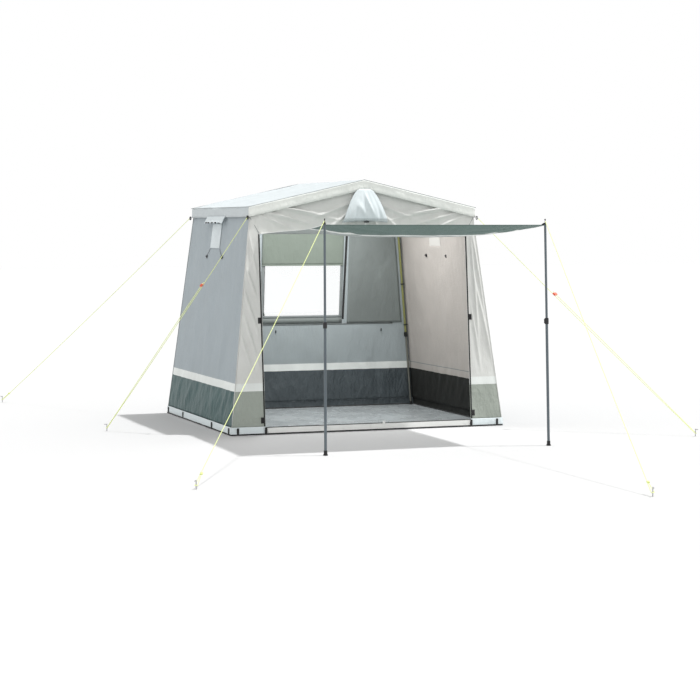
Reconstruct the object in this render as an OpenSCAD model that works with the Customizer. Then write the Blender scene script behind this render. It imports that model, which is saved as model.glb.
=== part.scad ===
// Gable-roofed screen house on a steel tube frame. Its front door panel is propped up on two
// poles as a canopy. The origin is on the ground under the middle of the room, the door faces -Y.

/* [Room] */
// Width of the room across its foot
foot_w = 2500; // [2400:10:2700]
// Depth of the room along its foot
foot_d = 2100; // [2000:10:2300]
// Width between the eaves
eave_w = 2040; // [1980:10:2200]
// Depth between the gables at eave height
eave_d = 1740; // [1680:10:1800]
// Height of the eaves above the ground
eave_h = 1930; // [1900:10:1960]
// Height of the ridge above the ground
ridge_h = 2160; // [2140:10:2300]
// Thickness of every cloth panel
cloth_t = 3; // [2:0.5:4]
// How far the roof cap stands out past the walls
roof_over = 28; // [20:1:40]
// Height of the band that wraps down from the roof
valance_h = 90; // [60:5:110]
// Height of the mud flap at the foot of the walls
flap_h = 65; // [50:5:90]

/* [Door and canopy] */
// Width of the door opening
door_w = 1890; // [1850:2:1900]
// Height of the top of the door opening
door_h = 1690; // [1670:5:1720]
// Length of the door panel from its hinge line to its free edge
canopy_l = 1600; // [1560:5:1610]
// Upward slope of the propped door panel in degrees
canopy_rise = 2.7; // [0:0.1:4]
// Height of the shoulder on each canopy pole
canopy_pole_h = 1770; // [1700:5:1800]
// Sideways distance of each pole top from the middle
canopy_pole_x = 935; // [900:5:940]
// How far each pole foot stands further out sideways
canopy_pole_splay = 15; // [0:5:60]
// How far each pole foot stands further out to the front
canopy_pole_rake = 60; // [0:5:120]

/* [Frame tubes] */
// Radius of the outer telescopic tubes
outer_r = 11; // [10:0.5:12.5]
// Radius of the inner telescopic tubes and the roof tubes
inner_r = 9.5; // [8.5:0.5:9.5]
// Wall thickness of the tubes
tube_wall = 1.2; // [0.8:0.1:1.2]
// Distance of the leg axes inside the walls
leg_in = 36; // [34:1:45]
// Height of the telescopic joint in each leg
leg_joint_h = 700; // [650:10:720]
// Length of leg tube hidden inside the outer tube
leg_overlap = 350; // [200:10:450]
// Height of the telescopic joint in each canopy pole
pole_joint_h = 1000; // [900:10:1100]
// Length of pole tube hidden inside the lower tube
pole_overlap = 360; // [250:10:400]

/* [Window and vents] */
// Left edge of the window, seen from the front
window_x0 = -340; // [-500:10:-200]
// Right edge of the window, seen from the front
window_x1 = 450; // [300:5:460]
// Height of the bottom of the clear pane
window_z0 = 890; // [850:10:1000]
// Height of the top of the clear pane
window_z1 = 1700; // [1650:10:1720]
// Height of the lower edge of the blind
blind_z = 1380; // [1200:5:1500]
// Depth position of the middle of the side vents
vent_y = 50; // [-100:10:200]
// Width of each side vent flap
vent_w = 290; // [200:10:350]
// Height of the hinge line of the side vent flaps
flap_top = 1785; // [1770:5:1790]
// Length of each side vent flap below its hinge line
vent_flap_l = 225; // [150:5:250]

/* [Guy lines] */
// Radius of the guy rope
rope_r = 2.5; // [2:0.5:3]
// Radius of the pegs
peg_r = 4; // [3:0.5:4]
// Height of the pegs above the ground
peg_h = 62; // [50:2:80]
// Distance of the front left runner from the top of its line
runner_at_left = 690; // [500:10:900]
// Distance of the front right runner from the top of its line
runner_at_right = 980; // [700:10:1200]

/* [Hidden] */
$fn = 40;

SIDES = [-1, 1];
UP = [0, 0, 1];
gap = 0.3;

// Walls lean in by these amounts between foot and eave.
lean_x = (foot_w - eave_w) / 2;
lean_y = (foot_d - eave_d) / 2;
slant_x = norm([lean_x, eave_h]);
slant_y = norm([lean_y, eave_h]);
wall_z0 = flap_h + 2;
wall_z1 = eave_h - 8;
corner_gap = 5;
roof_pitch = atan((ridge_h - eave_h) / (eave_w / 2));
roof_half = eave_w / 2 + roof_over;
roof_end = eave_d / 2 + roof_over;
flap_t = 6;
flap_out = 2;
zip_w = 12;
zip_t = 1.5;
zip_x = door_w / 2 + 3 + zip_w / 2;

// Hinge line of the door panel, just outside the front wall.
hinge_out = 8;
hinge_y = -(foot_d / 2 - lean_y * door_h / eave_h) - hinge_out;
canopy_w = door_w - 4;
canopy_edge_y = hinge_y - canopy_l * cos(canopy_rise);
canopy_pole_y = canopy_edge_y - 5 - inner_r;

// Mesh vents behind the flaps and the gable hood.
vent_top = flap_top - 15;
vent_bottom = flap_top - vent_flap_l + 15;
vent_hole_w = vent_w - 30;
gable_vent_z0 = eave_h + 5;
gable_vent_z1 = ridge_h - 100;
gable_vent_w = 240;

// Points of the frame at the eave and the ridge.
joint_z = eave_h - 32;
peak_z = joint_z + (foot_w / 2 - leg_in - lean_x * joint_z / eave_h) * tan(roof_pitch);
socket_r = 21;
socket_l = 70;
// Turns a fitting's ball so that the seam on it lies between the sleeves.
ball_turn = [20, 30, 10];
foot_seat = 7;
// Turns a foot's sleeve so that the seam along it isn't where the sleeve leans over.
seam_turn = 37;

// Guy ropes: where each leaves the tent and where its peg stands.
ROPE_FRONT_LEFT = [[-1064, -914, 1826], [-2140, -300, 0]];
ROPE_FRONT_RIGHT = [[1064, -914, 1826], [2400, -2400, 0]];
ROPE_BACK_LEFT = [[-1064, 914, 1826], [-2530, 2660, 0]];
ROPE_CANOPY_LEFT = [[-939.4, -2516.9, 1795], [-2380, -4020, 0]];
ROPE_CANOPY_RIGHT = [[933.4, -2518.7, 1795], [320, -5370, 0]];
ROPES = [ROPE_FRONT_LEFT, ROPE_FRONT_RIGHT, ROPE_BACK_LEFT, ROPE_CANOPY_LEFT, ROPE_CANOPY_RIGHT];
loop_r = peg_r + rope_r + 0.5;
loop_z = 25;
strand_gap = 24;
knot_back = 120;
knot_gap = 6;
runner_tail = 30;
runner_w = 60;
runner_h = 24;
runner_t = 14;

function unit(v) = v / norm(v);
function half_w(z) = foot_w / 2 - lean_x * z / eave_h;
function half_d(z) = foot_d / 2 - lean_y * z / eave_h;
function leg_at(sx, sy, z) = [sx * (half_w(z) - leg_in), sy * (half_d(z) - leg_in), z];
function pole_at(sx, z) =
    let (down = 1 - z / canopy_pole_h)
    [sx * (canopy_pole_x + canopy_pole_splay * down), canopy_pole_y - canopy_pole_rake * down, z];
function roof_z(x) = ridge_h - abs(x) * tan(roof_pitch);

// Places a flat drawing so that its x runs along u and its y along v.
module on_plane(origin, u, v) {
    n = cross(u, v);
    multmatrix([
        [u.x, v.x, n.x, origin.x],
        [u.y, v.y, n.y, origin.y],
        [u.z, v.z, n.z, origin.z],
        [0, 0, 0, 1]
    ])
        children();
}

// The left wall's outer face: x runs to the back, y up the slope, z into the room.
module on_left_wall() {
    on_plane([-foot_w / 2, 0, 0], [0, 1, 0], unit([lean_x, 0, eave_h])) children();
}

// The front wall's outer face: x runs to the right, y up the slope, z out of the room.
module on_front_wall() {
    on_plane([0, -foot_d / 2, 0], [1, 0, 0], unit([0, lean_y, eave_h])) children();
}

function up_side(z) = z * slant_x / eave_h;
function up_front(z) = z * slant_y / eave_h;

// Turns +Z to run from p towards q.
module along(p, q) {
    v = q - p;
    translate(p)
        rotate([0, acos(v.z / norm(v)), atan2(v.y, v.x)])
            children();
}

module tube(p, q, r) {
    along(p, q)
        difference() {
            cylinder(r = r, h = norm(q - p));
            translate([0, 0, -1])
                cylinder(r = r - tube_wall, h = norm(q - p) + 2);
        }
}

// Mirrors a left part onto the right for side 1.
module to_side(side) {
    if (side < 0) children();
    else mirror([1, 0, 0]) children();
}

// ---- Cloth ----

module groundsheet() {
    color("lightgrey")
        translate([-foot_w / 2 + 10, -foot_d / 2 + 10, 0])
            cube([foot_w - 20, foot_d - 20, cloth_t]);
}

// Outline of the mesh vent in a side wall, drawn in by an edge.
module side_vent(edge) {
    h = vent_top - vent_bottom;
    translate([vent_y - vent_hole_w / 2 + edge, up_side(vent_bottom) + edge])
        square([vent_hole_w - 2 * edge, up_side(h) - 2 * edge]);
}

// Outline of the mesh vent in the front gable, drawn in by an edge.
module gable_vent(edge) {
    polygon([
        [-gable_vent_w / 2 + 2 * edge, gable_vent_z0 + edge],
        [gable_vent_w / 2 - 2 * edge, gable_vent_z0 + edge],
        [0, gable_vent_z1 - 2 * edge]
    ]);
}

module side_wall(side) {
    color("slategray")
        to_side(side)
            on_left_wall()
                linear_extrude(cloth_t)
                    difference() {
                        polygon([
                            [-half_d(wall_z0) + corner_gap, up_side(wall_z0)],
                            [half_d(wall_z0) - corner_gap, up_side(wall_z0)],
                            [half_d(wall_z1) - corner_gap, up_side(wall_z1)],
                            [-half_d(wall_z1) + corner_gap, up_side(wall_z1)]
                        ]);
                        side_vent(0);
                    }
}

module back_wall() {
    color("slategray")
        mirror([0, 1, 0])
            on_front_wall()
                translate([0, 0, -cloth_t])
                    linear_extrude(cloth_t)
                        difference() {
                            polygon([
                                [-half_w(wall_z0), up_front(wall_z0)],
                                [half_w(wall_z0), up_front(wall_z0)],
                                [half_w(wall_z1), up_front(wall_z1)],
                                [-half_w(wall_z1), up_front(wall_z1)]
                            ]);
                            translate([window_x0, up_front(window_z0)])
                                square([window_x1 - window_x0, up_front(window_z1 - window_z0)]);
                        }
}

module front_panel(side) {
    color("silver")
        to_side(side)
            on_front_wall()
                translate([0, 0, -cloth_t])
                    linear_extrude(cloth_t)
                        polygon([
                            [-half_w(wall_z0), up_front(wall_z0)],
                            [-door_w / 2, up_front(wall_z0)],
                            [-door_w / 2, up_front(door_h)],
                            [-half_w(wall_z1), up_front(wall_z1)]
                        ]);
}

module gable_triangle() {
    base = wall_z1 + 1;
    half = half_w(wall_z1) - 2;
    translate([0, -eave_d / 2 + cloth_t, 0])
        rotate([90, 0, 0])
            linear_extrude(cloth_t)
                difference() {
                    polygon([[-half, base], [half, base], [0, ridge_h - 10]]);
                    children();
                }
}

module front_gable() {
    seam = 1;
    color("silver") {
        gable_triangle()
            gable_vent(0);
        on_front_wall()
            translate([0, 0, -cloth_t])
                linear_extrude(cloth_t)
                    polygon([
                        [-door_w / 2 + seam, up_front(door_h)],
                        [door_w / 2 - seam, up_front(door_h)],
                        [half_w(wall_z1) - 8 * seam, up_front(wall_z1)],
                        [-half_w(wall_z1) + 8 * seam, up_front(wall_z1)]
                    ]);
    }
}

module back_gable() {
    color("slategray")
        mirror([0, 1, 0])
            gable_triangle();
}

module roof_slope(side) {
    slope_l = roof_half / cos(roof_pitch);
    color("gainsboro")
        to_side(side)
            on_plane([0, 0, ridge_h], [0, 1, 0], [-cos(roof_pitch), 0, -sin(roof_pitch)])
                translate([-roof_end, 1, -cloth_t])
                    cube([2 * roof_end, slope_l - 1, cloth_t]);
}

// Band along one eave and one half of each gable.
module valance_half() {
    translate([-roof_half - gap - cloth_t, -roof_end + 1, roof_z(roof_half) - valance_h])
        cube([cloth_t, 2 * roof_end - 2, valance_h]);
    for (end = SIDES)
        translate([0, end * (roof_end + gap + cloth_t / 2) + cloth_t / 2, 0])
            rotate([90, 0, 0])
                linear_extrude(cloth_t)
                    polygon([
                        [-roof_half, roof_z(roof_half)],
                        [-1, roof_z(1)],
                        [-1, roof_z(1) - valance_h],
                        [-roof_half, roof_z(roof_half) - valance_h]
                    ]);
}

module roof_valance() {
    color("gainsboro")
        for (side = SIDES)
            to_side(side) valance_half();
}

module mud_flap() {
    x = foot_w / 2 + flap_out;
    y = foot_d / 2 + flap_out;
    color("lightsteelblue") {
        for (side = SIDES)
            to_side(side) {
                translate([-x, -y + flap_t + 1, 0])
                    cube([flap_t, 2 * (y - flap_t - 1), flap_h]);
                translate([-x, -y, 0])
                    cube([x - door_w / 2, flap_t, flap_h]);
            }
        translate([-x, y - flap_t, 0])
            cube([2 * x, flap_t, flap_h]);
    }
}

module door_sill() {
    color("white")
        translate([-door_w / 2 + 1, -foot_d / 2 - flap_out, 0])
            cube([door_w - 2, flap_t, flap_h]);
}

// The door panel, hinged along the top of the opening and propped up level.
module door_canopy() {
    root_gap = 6;
    color("darkslategray")
        translate([0, hinge_y, door_h])
            rotate([-canopy_rise, 0, 0])
                translate([-canopy_w / 2, -canopy_l, -cloth_t / 2])
                    cube([canopy_w, canopy_l - root_gap, cloth_t]);
}

module window_pane() {
    edge = 1;
    color("white", 0.3)
        mirror([0, 1, 0])
            on_front_wall()
                translate([window_x0 + edge, up_front(window_z0) + edge, -cloth_t + 0.5])
                    cube([
                        window_x1 - window_x0 - 2 * edge,
                        up_front(window_z1 - window_z0) - 2 * edge,
                        cloth_t - 1
                    ]);
}

// Hangs inside the window, clear of the wall.
module inside_back_wall(x0, x1, z0, z1, t) {
    clear = 5;
    mirror([0, 1, 0])
        on_front_wall()
            translate([x0, up_front(z0), -cloth_t - clear - t])
                cube([x1 - x0, up_front(z1 - z0), t]);
}

module window_blind() {
    batten_h = 16;
    color("darkseagreen")
        inside_back_wall(window_x0 - 15, window_x1 + 15, blind_z + batten_h, window_z1 + 10, 2);
}

module blind_batten() {
    color("darkseagreen")
        inside_back_wall(window_x0 - 15, window_x1 + 15, blind_z, blind_z + 15, 4);
}

module rear_cover() {
    color("dimgray")
        inside_back_wall(window_x1 + 70, window_x1 + 575, window_z0 - 70, window_z1 + 10, 2);
}

// ---- Vents ----

// A flap of cloth held out over the gable vent.
module vent_hood_front() {
    top = ridge_h - 88;
    bottom = door_h + 97;
    stand_off = 62;
    half = 205;
    y = -roof_end - cloth_t - 2;
    color("whitesmoke")
        polyhedron(
            [
                [0, y, top], [-half, y - stand_off, bottom], [half, y - stand_off, bottom],
                [0, y - cloth_t, top], [-half, y - stand_off - cloth_t, bottom],
                [half, y - stand_off - cloth_t, bottom]
            ],
            [[0, 2, 1], [3, 4, 5], [0, 1, 4, 3], [1, 2, 5, 4], [2, 0, 3, 5]]
        );
}

module vent_hood(side) {
    top = flap_top + 65;
    drop = 60;
    stand_off = 45;
    length = 560;
    tilt = atan(stand_off / drop);
    color("whitesmoke")
        to_side(side)
            translate([-roof_half - cloth_t - 2, vent_y - length / 2, top])
                rotate([0, tilt, 0])
                    translate([-cloth_t, 0, -norm([drop, stand_off])])
                        cube([cloth_t, length, norm([drop, stand_off])]);
}

module vent_flap(side) {
    bottom = flap_top - vent_flap_l;
    color("whitesmoke")
        to_side(side)
            on_left_wall()
                translate([vent_y - vent_w / 2, up_side(bottom), -cloth_t - 2])
                    cube([vent_w, up_side(flap_top - bottom), cloth_t]);
}

// Insect mesh in the two side vents and the gable vent.
module vent_meshes() {
    edge = 1;
    t = cloth_t - 1;
    color("dimgray") {
        for (side = SIDES)
            to_side(side)
                on_left_wall()
                    translate([0, 0, 0.5])
                        linear_extrude(t)
                            side_vent(edge);
        translate([0, -eave_d / 2 + cloth_t - 0.5, 0])
            rotate([90, 0, 0])
                linear_extrude(t)
                    gable_vent(edge);
    }
}

// ---- Zips and small fittings ----

module door_zips() {
    color("black")
        for (side = SIDES)
            to_side(side)
                on_front_wall()
                    translate([-zip_x - zip_w / 2, up_front(wall_z0), gap])
                        cube([zip_w, up_front(door_h - wall_z0), zip_t]);
}

module zip_slider(side) {
    rest_z = 110;
    color("black")
        to_side(side)
            on_front_wall()
                translate([-zip_x - 5, up_front(rest_z), zip_t + 2 * gap]) {
                    cube([10, 26, 5]);
                    translate([2, -30, 1.5])
                        cube([6, 31, 2.5]);
                }
}

module barrel(l) {
    rotate([0, 90, 0])
        cylinder(r = 5, h = l, center = true, $fn = 24);
}

module toggles() {
    tie_z = 1485;
    door_tie_z = 960;
    back_tie_z = window_z0 - 140;
    blind_tie_z = window_z1 + 35;
    color("black") {
        for (side = SIDES, dy = [-240, 240])
            to_side(side)
                on_left_wall() {
                    translate([vent_y + dy, up_side(tie_z), -6])
                        barrel(30);
                    translate([vent_y + dy, up_side(tie_z), cloth_t + 6])
                        barrel(30);
                }
        for (side = SIDES)
            to_side(side)
                on_front_wall()
                    translate([-zip_x - 22, up_front(door_tie_z), 6])
                        rotate([0, 0, 90])
                            barrel(34);
        ties = [
            [window_x0 + 140, back_tie_z], [window_x1 + 430, back_tie_z],
            [window_x0 + 180, blind_tie_z], [window_x1 - 160, blind_tie_z]
        ];
        mirror([0, 1, 0])
            on_front_wall()
                for (tie = ties)
                    translate([tie.x, up_front(tie.y), -cloth_t - 6])
                        rotate([0, 0, 90])
                            barrel(28);
    }
}

// Each clip rings a leg and reaches to the side wall.
module pole_clips() {
    color("black")
        for (sx = SIDES, sy = SIDES, z = [790, 1188]) {
            p = leg_at(sx, sy, z);
            along(p, leg_at(sx, sy, z + 14))
                difference() {
                    cylinder(r = outer_r + 4, h = 14);
                    translate([0, 0, -1])
                        cylinder(r = outer_r + 0.1, h = 16);
                }
            root = outer_r + 2;
            reach = leg_in - root - cloth_t - 3;
            translate([p.x + sx * (root + reach / 2), p.y, z + 7])
                cube([reach, 18, 3], center = true);
        }
}

module peg_loops() {
    x = foot_w / 2 + flap_out + 2;
    y = foot_d / 2 + flap_out + 2;
    w = 22;
    z0 = 12;
    color("black") {
        for (sx = SIDES, dy = [-y + 60, -y * 0.45, y * 0.45, y - 60])
            translate([sx * x, dy, (flap_h + z0) / 2])
                cube([3, w, flap_h - z0], center = true);
        for (sy = SIDES, dx = [-x + 60, x - 60])
            translate([dx, sy * y, (flap_h + z0) / 2])
                cube([w, 3, flap_h - z0], center = true);
        for (dx = [-door_w / 2, door_w / 2])
            translate([dx, -y, (flap_h + z0) / 2])
                cube([w, 3, flap_h - z0], center = true);
        for (dx = [-x / 3, x / 3])
            translate([dx, y, (flap_h + z0) / 2])
                cube([w, 3, flap_h - z0], center = true);
    }
}

module guy_loops() {
    color("black")
        for (sx = SIDES, sy = SIDES)
            translate([sx * (roof_half + 10), sy * (roof_end + 10), ROPE_FRONT_LEFT[0].z + 2])
                rotate([0, 0, sx * sy * 45])
                    cube([16, 10, 36], center = true);
}

// ---- Frame ----

module leg_upper_tubes() {
    color("silver")
        for (sx = SIDES, sy = SIDES)
            tube(leg_at(sx, sy, leg_joint_h), leg_at(sx, sy, joint_z - 28), outer_r);
}

// A collar round the mouth of an outer tube, with a locking lever.
module clamp_collar(p, q) {
    below = 22;
    h = 48;
    along(p, q)
        translate([0, 0, -below])
            difference() {
                union() {
                    cylinder(r = outer_r + 5, h = h);
                    translate([outer_r + 2, -7, 6])
                        cube([12, 14, h - 12]);
                }
                translate([0, 0, -1])
                    cylinder(r = inner_r + 0.6, h = h + 2);
                translate([0, 0, below])
                    cylinder(r = outer_r + 0.1, h = h);
            }
}

module tube_clamps() {
    color("black") {
        for (sx = SIDES, sy = SIDES)
            clamp_collar(leg_at(sx, sy, leg_joint_h), leg_at(sx, sy, leg_joint_h + 100));
        for (sx = SIDES)
            clamp_collar(pole_at(sx, pole_joint_h), pole_at(sx, pole_joint_h - 100));
    }
}

module leg_tube(sx, sy) {
    color("silver")
        tube(leg_at(sx, sy, foot_seat), leg_at(sx, sy, leg_joint_h + leg_overlap), inner_r);
}

// A rubber foot with a flat sole and a sleeve for the end of a leaning tube. The sole is thick
// enough to hold the closed end of the sleeve's bore.
module rubber_foot(sole, p, q, r) {
    sleeve_h = 30;
    sole_top = foot_seat + 2;
    difference() {
        union() {
            translate(sole)
                cylinder(r = r + 7, h = sole_top - sole.z);
            along(p, q)
                rotate(seam_turn)
                    cylinder(r = r + 3, h = sleeve_h);
        }
        along(p, q)
            cylinder(r = r + 0.1, h = sleeve_h + 1);
    }
}

module leg_foot(sx, sy) {
    color("black")
        rubber_foot(leg_at(sx, sy, cloth_t + gap), leg_at(sx, sy, foot_seat), leg_at(sx, sy, 100),
            inner_r);
}

// A round fitting with one sleeve for each tube that leaves it.
module tube_fitting(centre, ends) {
    mouth = 25;
    difference() {
        union() {
            translate(centre)
                rotate(ball_turn)
                    sphere(r = socket_r);
            for (e = ends)
                along(centre, e[0])
                    cylinder(r = e[1] + 3, h = socket_l);
        }
        for (e = ends)
            along(centre, e[0])
                translate([0, 0, mouth])
                    cylinder(r = e[1] + 0.1, h = socket_l);
    }
}

function corner_at(sx, sy) = leg_at(sx, sy, joint_z);
function peak_at(sy) = [0, corner_at(1, sy).y, peak_z];

module corner_joints() {
    color("black")
        for (sx = SIDES, sy = SIDES)
            tube_fitting(corner_at(sx, sy), [
                [leg_at(sx, sy, 0), outer_r],
                [corner_at(sx, -sy), inner_r],
                [peak_at(sy), inner_r]
            ]);
}

module peak_joints() {
    color("black")
        for (sy = SIDES)
            tube_fitting(peak_at(sy), [
                [corner_at(-1, sy), inner_r],
                [corner_at(1, sy), inner_r],
                [peak_at(-sy), inner_r]
            ]);
}

// A tube between two fittings, stopping short of their centres.
module roof_tube(p, q) {
    inset = 28;
    d = unit(q - p);
    tube(p + inset * d, q - inset * d, inner_r);
}

module eave_poles() {
    color("silver")
        for (sx = SIDES)
            roof_tube(corner_at(sx, -1), corner_at(sx, 1));
}

module rafters() {
    color("silver")
        for (sx = SIDES, sy = SIDES)
            roof_tube(corner_at(sx, sy), peak_at(sy));
}

module ridge_pole() {
    color("silver")
        roof_tube(peak_at(-1), peak_at(1));
}

// ---- Canopy poles ----

module canopy_pole_lower_tubes() {
    color("slategray")
        for (sx = SIDES)
            tube(pole_at(sx, foot_seat), pole_at(sx, pole_joint_h), outer_r);
}

module canopy_pole_feet() {
    color("black")
        for (sx = SIDES)
            rubber_foot(pole_at(sx, 0), pole_at(sx, foot_seat), pole_at(sx, 100), outer_r);
}

module canopy_pole_tube(sx) {
    color("lightgrey")
        tube(pole_at(sx, pole_joint_h - pole_overlap), pole_at(sx, canopy_pole_h - 1), inner_r);
}

// Cap and spike that hold the corner of the canopy.
module canopy_pole_tip(sx) {
    color("black")
        along(pole_at(sx, canopy_pole_h - 0.8), pole_at(sx, canopy_pole_h + 100)) {
            cylinder(r = inner_r, h = 8);
            cylinder(r = 3.5, h = 40);
            translate([0, 0, 40])
                sphere(r = 6);
        }
}

// ---- Guy lines ----

// The route comes down from the tent, round the peg in a level hairpin and back up. The strand
// that goes back up keeps one distance from the first along the last quarter of its length.
function rope_route(ends, back, end_gap) =
    let (
        top = ends[0],
        hook = [ends[1].x, ends[1].y, loop_z],
        side = unit(cross(hook - top, UP)),
        out = cross(UP, side),
        low = hook + loop_r * side,
        down = unit(low - top)
    )
    concat(
        [for (i = [0:6]) top + (low - top) * i / 7],
        [for (a = [0:22.5:180]) hook + loop_r * (cos(a) * side + sin(a) * out)],
        [for (i = [1:4]) let (s = i / 4, spread = min(1, s / 0.75))
            hook - loop_r * side - back * s * down + (2 * loop_r - end_gap) * spread * side]
    );

// A closed tube of 8 sides swept along a list of points.
module sweep(path, r) {
    n = 8;
    last = len(path) - 1;
    points = [
        for (i = [0:last])
            let (
                t = unit(path[min(i + 1, last)] - path[max(i - 1, 0)]),
                side = unit(cross(t, UP)),
                up = cross(side, t)
            )
            for (k = [0:n - 1]) path[i] + r * (cos(360 * k / n) * side + sin(360 * k / n) * up)
    ];
    walls = [
        for (i = [0:last - 1], k = [0:n - 1])
            let (a = i * n + k, b = i * n + (k + 1) % n)
            each [[a, b, b + n], [a, b + n, a + n]]
    ];
    caps = [[for (k = [n - 1:-1:0]) k], [for (k = [0:n - 1]) last * n + k]];
    polyhedron(points, concat(walls, caps));
}

module guy_rope(ends, back, end_gap) {
    color("palegoldenrod")
        sweep(rope_route(ends, back, end_gap), rope_r);
}

function rope_down(ends) =
    let (route = rope_route(ends, knot_back, knot_gap)) unit(route[7] - route[0]);
function rope_side(ends) =
    unit(cross([ends[1].x, ends[1].y, loop_z] - ends[0], UP));
function runner_back(ends, runner_at) =
    let (route = rope_route(ends, knot_back, knot_gap))
    norm(route[7] - route[0]) - runner_at + runner_tail;

// A flat bar with two holes that both strands of a rope run through.
module guy_runner(ends, runner_at) {
    down = rope_down(ends);
    side = rope_side(ends);
    centre = ends[0] + runner_at * down - strand_gap / 2 * side;
    color("orangered")
        on_plane(centre, side, cross(down, side))
            difference() {
                cube([runner_w, runner_t, runner_h], center = true);
                for (x = [-strand_gap / 2, strand_gap / 2])
                    translate([x, 0, 0])
                        cylinder(r = rope_r + 1.2, h = runner_h + 2, center = true);
            }
}

module guy_pegs() {
    hook_l = 22;
    hook_r = peg_r - 0.5;
    color("silver")
        for (ends = ROPES) {
            away = ends[1] - [ends[0].x, ends[0].y, 0];
            translate(ends[1]) {
                cylinder(r = peg_r, h = peg_h);
                translate([0, 0, peg_h - peg_r - 1])
                    rotate([0, 90, atan2(away.y, away.x)])
                        cylinder(r = hook_r, h = hook_l);
            }
        }
}

groundsheet();
side_wall(-1);  // left_wall
side_wall(1);  // right_wall
back_wall();
front_panel(-1);  // front_left_panel
front_panel(1);  // front_right_panel
front_gable();
back_gable();
roof_slope(-1);  // roof_left
roof_slope(1);  // roof_right
roof_valance();
mud_flap();
door_sill();
door_canopy();
window_pane();
window_blind();
blind_batten();
rear_cover();
vent_hood_front();
vent_hood(-1);  // vent_hood_left
vent_hood(1);  // vent_hood_right
vent_flap(-1);  // vent_flap_left
vent_flap(1);  // vent_flap_right
vent_meshes();
door_zips();
zip_slider(-1);  // zip_slider_left
zip_slider(1);  // zip_slider_right
toggles();
pole_clips();
peg_loops();
guy_loops();
leg_upper_tubes();
tube_clamps();
leg_tube(-1, -1);  // leg_tube_front_left
leg_tube(1, -1);  // leg_tube_front_right
leg_tube(-1, 1);  // leg_tube_back_left
leg_tube(1, 1);  // leg_tube_back_right
leg_foot(-1, -1);  // leg_foot_front_left
leg_foot(1, -1);  // leg_foot_front_right
leg_foot(-1, 1);  // leg_foot_back_left
leg_foot(1, 1);  // leg_foot_back_right
corner_joints();
peak_joints();
eave_poles();
rafters();
ridge_pole();
canopy_pole_lower_tubes();
canopy_pole_feet();
canopy_pole_tube(-1);  // canopy_pole_tube_left
canopy_pole_tube(1);  // canopy_pole_tube_right
canopy_pole_tip(-1);  // canopy_pole_tip_left
canopy_pole_tip(1);  // canopy_pole_tip_right
guy_pegs();
guy_rope(ROPE_FRONT_LEFT, runner_back(ROPE_FRONT_LEFT, runner_at_left), strand_gap);  // guy_rope_front_left
guy_rope(ROPE_FRONT_RIGHT, runner_back(ROPE_FRONT_RIGHT, runner_at_right), strand_gap);  // guy_rope_front_right
guy_rope(ROPE_BACK_LEFT, knot_back, knot_gap);  // guy_rope_back_left
guy_rope(ROPE_CANOPY_LEFT, knot_back, knot_gap);  // guy_rope_canopy_left
guy_rope(ROPE_CANOPY_RIGHT, knot_back, knot_gap);  // guy_rope_canopy_right
guy_runner(ROPE_FRONT_LEFT, runner_at_left);  // guy_runner_front_left
guy_runner(ROPE_FRONT_RIGHT, runner_at_right);  // guy_runner_front_right
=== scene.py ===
"""Looks of a gable-roofed screen house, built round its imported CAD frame. All sizes in metres."""

import math

import bmesh
import bpy
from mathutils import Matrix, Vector, noise


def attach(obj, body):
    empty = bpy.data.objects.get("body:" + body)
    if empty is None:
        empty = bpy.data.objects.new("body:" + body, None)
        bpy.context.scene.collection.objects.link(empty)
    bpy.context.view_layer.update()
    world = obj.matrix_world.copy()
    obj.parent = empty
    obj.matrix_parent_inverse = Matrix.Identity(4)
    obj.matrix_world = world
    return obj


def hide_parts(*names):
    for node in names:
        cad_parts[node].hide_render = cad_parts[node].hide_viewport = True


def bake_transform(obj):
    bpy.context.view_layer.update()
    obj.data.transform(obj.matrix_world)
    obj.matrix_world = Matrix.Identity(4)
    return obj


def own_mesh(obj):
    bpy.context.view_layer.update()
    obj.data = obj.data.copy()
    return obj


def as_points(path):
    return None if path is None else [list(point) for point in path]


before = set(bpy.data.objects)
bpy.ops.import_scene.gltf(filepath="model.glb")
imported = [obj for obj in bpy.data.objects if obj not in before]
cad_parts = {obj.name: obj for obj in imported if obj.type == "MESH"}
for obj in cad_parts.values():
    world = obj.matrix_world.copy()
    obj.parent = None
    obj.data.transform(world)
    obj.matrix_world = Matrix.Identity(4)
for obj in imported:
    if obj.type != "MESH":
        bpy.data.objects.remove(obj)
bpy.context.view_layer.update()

# ---- Sizes repeated from the CAD source ----
# Heights end in H or Z, and HALF is a distance from the middle. LEG is where a leg meets the floor.

FOOT_W = 2.5
FOOT_D = 2.1
EAVE_H = 1.93
RIDGE_H = 2.16
LEAN_X = 0.23 / EAVE_H
LEAN_Y = 0.18 / EAVE_H
ROOF_HALF = 1.048
ROOF_END = 0.898
ROOF_FALL = 0.23 / 1.02
HEM = 0.09
FLAP_H = 0.065
GABLE_Y = 0.870
LEG_X = 1.2136
LEG_Y = 1.0137
WALL_FOOT = 0.067
WALL_TOP = 1.922
DOOR_HALF = 0.945
DOOR_H = 1.69
HINGE_Y = -0.900383
CANOPY_L = 1.6
CANOPY_HALF = 0.943
CANOPY_RISE = math.radians(2.7)
WINDOW = (-0.34, 0.45, 0.89, 1.70)
BLIND_Z = 1.38
VENT_Y = 0.05
VENT_HOLE = (1.575, 1.770)
VENT_HOLE_HALF = 0.13
FLAP_TOP = 1.785
FLAP_BOTTOM = 1.56
SIDES = (-1, 1)
ENDS = {-1: "left", 1: "right"}
ROWS = {-1: "front", 1: "back"}
CORNERS = [(sx, sy) for sx in SIDES for sy in SIDES]

# Heights of the dark band, the white stripe above it, and the seams across the walls.
BAND_TOP = 0.367
STRIPE_TOP = 0.434
SEAM_Z = STRIPE_TOP - 0.007
REAR_SEAM_Z = 0.815

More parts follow.
